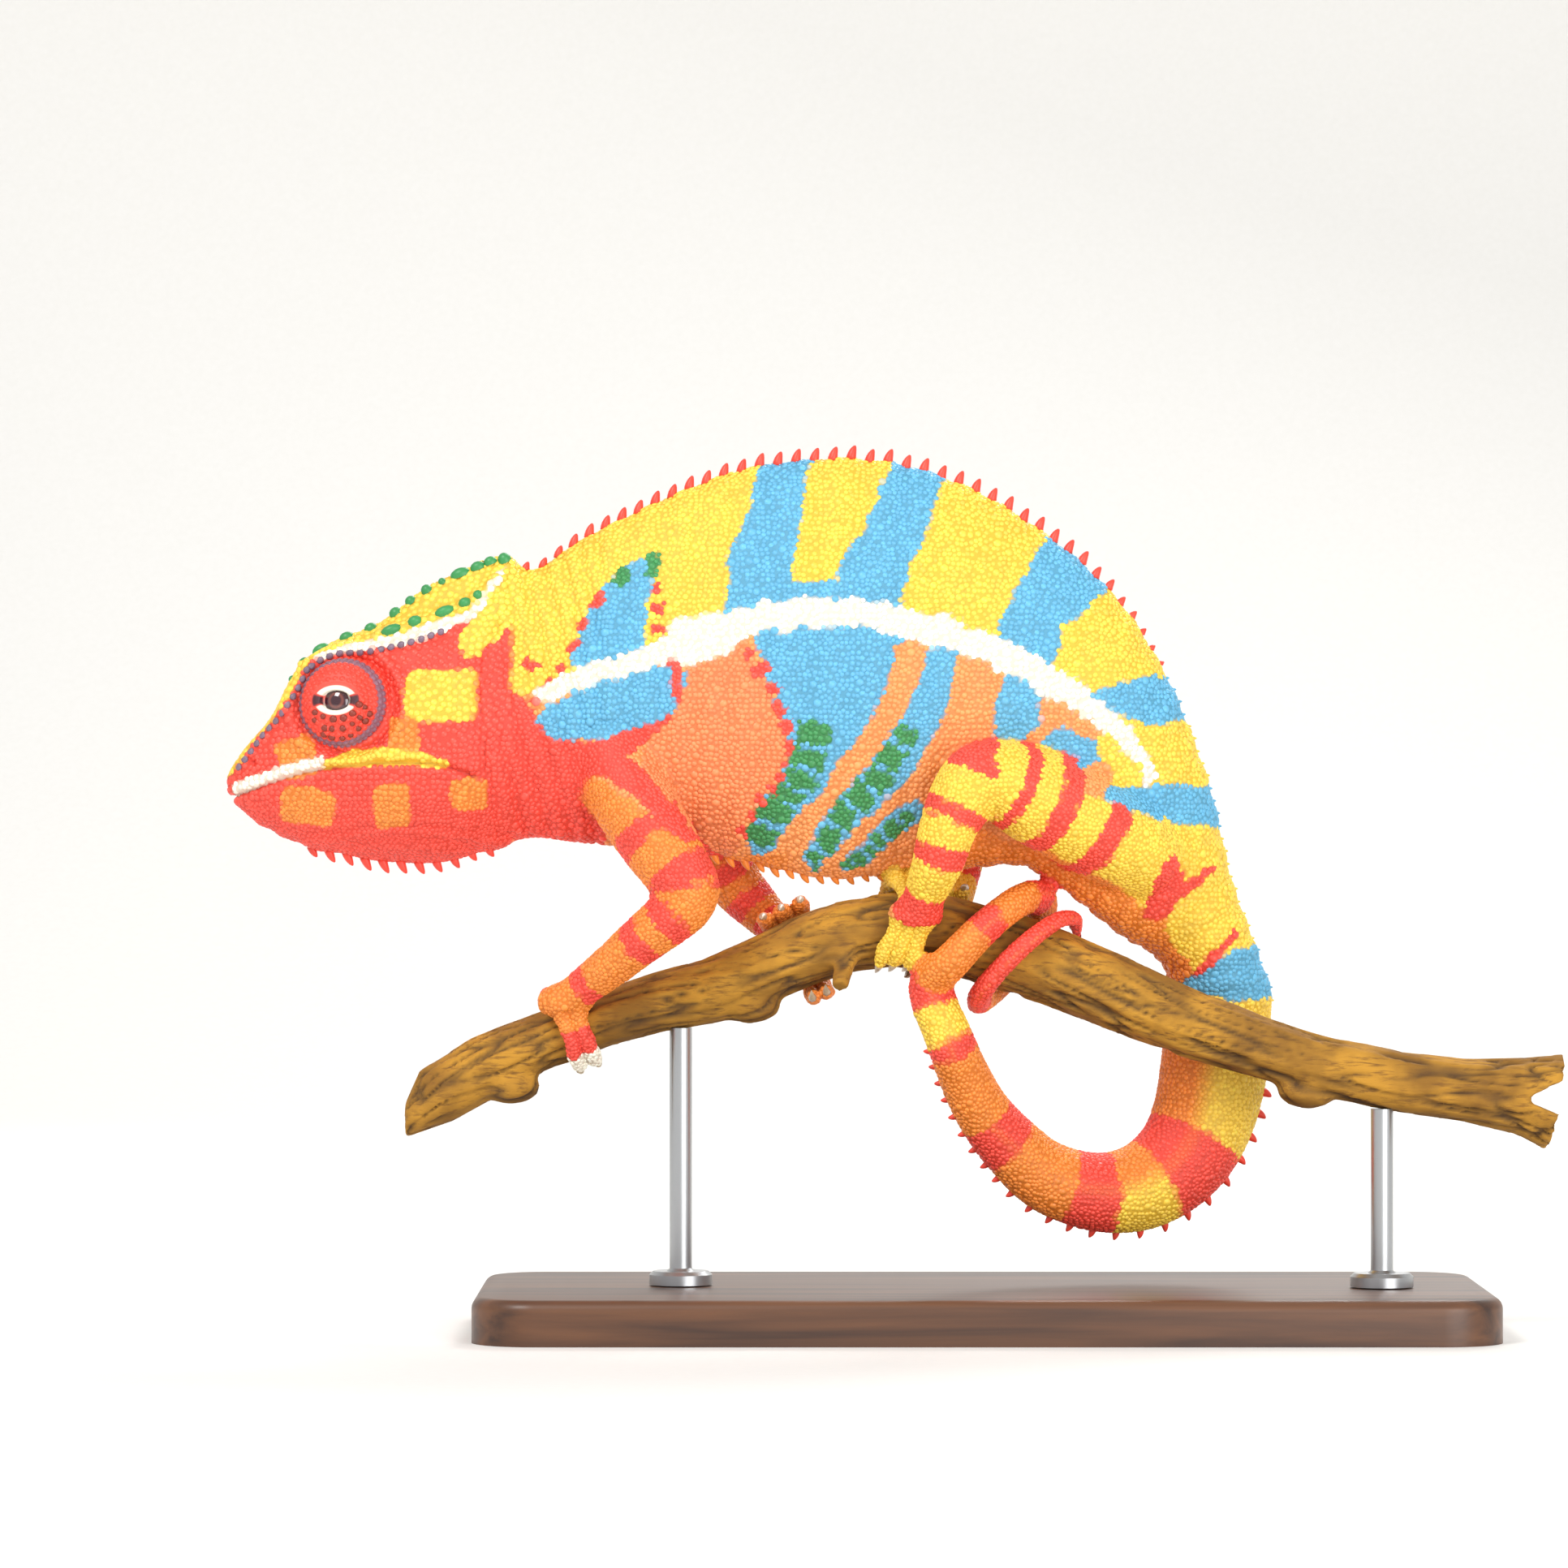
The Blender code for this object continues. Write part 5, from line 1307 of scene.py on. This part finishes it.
# dry bark: dull and rough, ochre in patches, with dark threads along the grain, darker in the fissures, and
# painted shade on the underside
barkMaterial, tree, shader = newMaterial("barkOchre", {"Roughness": 0.85})
coords = addNode(tree, "ShaderNodeTexCoord")
relief = addNode(tree, "ShaderNodeAttribute", attribute_name="relief")
drawn = addNode(tree, "ShaderNodeMapping", {"Rotation": (0, math.radians(8), 0), "Scale": (0.16, 1, 1)},
                {"Vector": coords.outputs["Object"]})
grain = addNode(tree, "ShaderNodeTexNoise", {"Scale": 1 / (1.1 * mm), "Detail": 5.0, "Roughness": 0.62},
                {"Vector": drawn.outputs["Vector"]})
patches = addNode(tree, "ShaderNodeTexNoise", {"Scale": 1 / (12 * mm), "Detail": 3.0},
                  {"Vector": coords.outputs["Object"]})
ochre = addNode(tree, "ShaderNodeValToRGB", {}, {"Fac": patches.outputs["Fac"]},
                [(0.38, "#8E621C"), (0.62, "#C08A2A")])
threads = addNode(tree, "ShaderNodeMapRange", {"From Min": 0.52, "From Max": 0.68},
                  {"Value": grain.outputs["Fac"]})
streaked = addNode(tree, "ShaderNodeMix", {7: rgba("#7A521C")},
                   {0: threads.outputs["Result"], 6: ochre.outputs["Color"]}, data_type="RGBA")
# darker in the fissures and on the underside; the underside darkening is painted shade
crackedAndShaded = addNode(tree, "ShaderNodeMix", {7: rgba("#46301A")},
                  {0: relief.outputs["Fac"], 6: streaked.outputs[2]}, data_type="RGBA")
tree.links.new(crackedAndShaded.outputs[2], shader.inputs["Base Color"])
bump = addNode(tree, "ShaderNodeBump", {"Strength": 0.7, "Distance": 0.35 * mm},
               {"Height": grain.outputs["Fac"]}, invert=True)
tree.links.new(bump.outputs["Normal"], shader.inputs["Normal"])
bm = bmesh.new()
bm.from_mesh(frame["nodes"]["perch_branch"].data)
bmesh.ops.remove_doubles(bm, verts=bm.verts, dist=0.00001)
source = asObject("branchSource", bm)
bm = bmesh.new()
bm.from_mesh(voxelRemesh(source, bark["voxel"] * mm))
for _ in range(2):
    relax(bm, bm.verts)
bm.normal_update()
fissureDarkAndShade = []
for vert in bm.verts:
    p = vert.co / mm
    centre, radius = branchAt(p.x)
    turn = math.atan2(p.y - centre.y, p.z - centre.z) + p.x * bark["twist"]
    wide = bark["fissureWidth"]
    grainPoint = Vector((p.x * 0.055, math.cos(turn) * radius / wide, math.sin(turn) * radius / wide))
    crack = max(0.0, 1 - abs(noise.noise(grainPoint)) / 0.2) ** 1.3
    broken = 0.5 + 0.5 * noise.noise(p * 0.09 + Vector((7, 0, 0)))
    crack *= min(1.0, max(0.0, broken * 2.8 - 0.4))
    # painted shade: bark that faces downwards is darkened
    undersideShade = max(0.0, -vert.normal.z - 0.35) * 0.5
    swell = bark["lump"] * 0.5 * (noise.noise(p * 0.06) - 0.3)
    vert.co += vert.normal * (min(0.0, swell) - bark["sunk"] - crack * bark["fissure"]) * mm
    fissureDarkAndShade.append(min(1.0, crack * 0.9 + undersideShade))
branch = asObject("branch", bm, barkMaterial)
# the fissure darkening and the painted underside shade, read by the bark's colour
layer = branch.data.color_attributes.new("relief", "FLOAT_COLOR", "POINT")
layer.data.foreach_set("color", np.repeat(np.array(fissureDarkAndShade, np.float32), 4))
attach(branch, "root")
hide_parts("perch_branch")
print("branch barked:", len(branch.data.polygons), "faces")


# display stand: a bevelled wooden base and two steel rods
stand = dict(corner=14.0, edge=2.5, rod=2.5, flange=7.0, flangeHeight=3.0, flangeEdge=0.8, weld=0.6)
# oiled walnut: dark brown with long grain and a thin soft shine
woodMaterial, tree, shader = newMaterial("oiledWalnut", {"Roughness": 0.42, "Coat Weight": 0.15,
                                                         "Coat Roughness": 0.3})
coords = addNode(tree, "ShaderNodeTexCoord")
drawn = addNode(tree, "ShaderNodeMapping", {"Scale": (0.05, 1, 1)}, {"Vector": coords.outputs["Object"]})
grain = addNode(tree, "ShaderNodeTexNoise", {"Scale": 1 / (5 * mm), "Detail": 6.0, "Distortion": 0.4},
                {"Vector": drawn.outputs["Vector"]})
tone = addNode(tree, "ShaderNodeValToRGB", {}, {"Fac": grain.outputs["Fac"]},
               [(0.35, "#3B2418"), (0.65, "#6B4429")])
tree.links.new(tone.outputs["Color"], shader.inputs["Base Color"])
bump = addNode(tree, "ShaderNodeBump", {"Strength": 0.15, "Distance": 0.1 * mm},
               {"Height": grain.outputs["Fac"]})
tree.links.new(bump.outputs["Normal"], shader.inputs["Normal"])
low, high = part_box("stand_base")
bm = bmesh.new()
bmesh.ops.create_cube(bm, size=1)
bmesh.ops.scale(bm, vec=high - low, verts=bm.verts)
bmesh.ops.translate(bm, vec=(high + low) / 2, verts=bm.verts)
uprights = [edge for edge in bm.edges if abs(edge.verts[0].co.z - edge.verts[1].co.z) > 0.001]
bmesh.ops.bevel(bm, geom=uprights, offset=stand["corner"] * mm, affect="EDGES", segments=14, profile=0.5,
                material=-1)
rim = [edge for edge in bm.edges if all(vert.co.z > high.z - 0.0001 for vert in edge.verts)]
bmesh.ops.bevel(bm, geom=rim, offset=stand["edge"] * mm, affect="EDGES", segments=6, profile=0.5, material=-1)
foundation = asObject("standBase", bm, woodMaterial)
foundation.data.set_sharp_from_angle(angle=math.radians(40))
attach(foundation, "root")
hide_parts("stand_base")
# brushed stainless steel: fine rings round the rod
steelMaterial, tree, shader = newMaterial("brushedSteel", {"Metallic": 1.0, "Roughness": 0.3,
                                                           "Base Color": rgba("#B9BBBD")})
coords = addNode(tree, "ShaderNodeTexCoord")
drawn = addNode(tree, "ShaderNodeMapping", {"Scale": (1, 1, 14)}, {"Vector": coords.outputs["Object"]})
brush = addNode(tree, "ShaderNodeTexNoise", {"Scale": 1 / (1.2 * mm), "Detail": 2.0},
                {"Vector": drawn.outputs["Vector"]})
rough = addNode(tree, "ShaderNodeMapRange", {"To Min": 0.24, "To Max": 0.38}, {"Value": brush.outputs["Fac"]})
tree.links.new(rough.outputs["Result"], shader.inputs["Roughness"])
for node in ("stand_rod_front", "stand_rod_rear"):
    low, high = (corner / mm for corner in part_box(node))
    middle = (low + high) / 2
    top = low.z + stand["flangeHeight"]
    flange, radius, edge, weld = (stand[name] for name in ("flange", "rod", "flangeEdge", "weld"))
    shape = [(0, low.z), (flange, low.z), (flange, top - edge), (flange - edge, top), (radius + weld, top),
             (radius, top + weld), (radius, high.z), (0, high.z)]
    bm = bmesh.new()
    lathe(bm, [(middle.x + r, middle.y, z) for r, z in shape], middle, 40)
    inMetres(bm)
    rod = asObject("rod" + node.rsplit("_", 1)[1].capitalize(), bm, steelMaterial)
    rod.data.set_sharp_from_angle(angle=math.radians(35))
    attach(rod, "root")
    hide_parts(node)
print("stand made")


# floor that curves up behind, soft light and the camera
studio = dict(floor=3.0, front=-0.9, back=1.0, curve=0.5, height=2.4, cameraX=-0.0241, cameraZ=0.1213,
              distance=1.6, width=0.348, sensor=36, aim=(0, 0, 0.12), air=0.7)
back, curve = studio["back"], studio["curve"]
line = [(studio["front"], 0.0), (back, 0.0)]
line += [(back + curve * math.sin(t), curve * (1 - math.cos(t))) for t in np.linspace(0.1, math.pi / 2, 16)]
line += [(back + curve, studio["height"])]
bm = bmesh.new()
verts = [bm.verts.new((-studio["floor"], y, z)) for y, z in line]
edges = [bm.edges.new(pair) for pair in zip(verts, verts[1:])]
made = bmesh.ops.extrude_edge_only(bm, edges=edges)["geom"]
farEdge = [part for part in made if isinstance(part, bmesh.types.BMVert)]
bmesh.ops.translate(bm, vec=(2 * studio["floor"], 0, 0), verts=farEdge)
# matt pale paper: no shine, a trace of fibre
floorMaterial, tree, shader = newMaterial("palePaper", {"Roughness": 0.9})
coords = addNode(tree, "ShaderNodeTexCoord")
fibre = addNode(tree, "ShaderNodeTexNoise", {"Scale": 400.0}, {"Vector": coords.outputs["Object"]})
tone = addNode(tree, "ShaderNodeMix", {6: rgba("#F4F2EE"), 7: rgba("#EFEDE8")}, {0: fibre.outputs["Fac"]},
               data_type="RGBA")
tree.links.new(tone.outputs[2], shader.inputs["Base Color"])
floor = asObject("floor", bm, floorMaterial)
if floor.data.polygons[0].normal.z < 0:
    floor.data.flip_normals()
scene = bpy.context.scene
lamps = [  # name, place, energy, size
    ("key", (-0.7, -0.95, 1.2), 13, 0.5), ("fill", (0.8, -1.3, 0.2), 16, 1.0),
    ("rim", (0.35, 0.85, 0.95), 8, 0.5),
]
for name, spot, energy, size in lamps:
    lamp = bpy.data.lights.new(name, "AREA")
    lamp.energy = energy
    lamp.size = size
    holder = bpy.data.objects.new(name, lamp)
    holder.location = spot
    holder.rotation_euler = (Vector(studio["aim"]) - Vector(spot)).to_track_quat("-Z", "Y").to_euler()
    scene.collection.objects.link(holder)
world = bpy.data.worlds.new("studioAir")
world.use_nodes = True
air = world.node_tree.nodes["Background"].inputs
air["Color"].default_value = rgba("#F3F4F6")
air["Strength"].default_value = studio["air"]
scene.world = world
lens = bpy.data.cameras.new("camera")
lens.sensor_width = studio["sensor"]
lens.lens = studio["sensor"] * studio["distance"] / studio["width"]
camera = bpy.data.objects.new("camera", lens)
camera.location = (studio["cameraX"], -studio["distance"], studio["cameraZ"])
camera.rotation_euler = (math.pi / 2, 0, 0)
scene.collection.objects.link(camera)
scene.camera = camera
scene.view_settings.view_transform = "Standard"
bpy.context.view_layer.update()
print("stage lit")
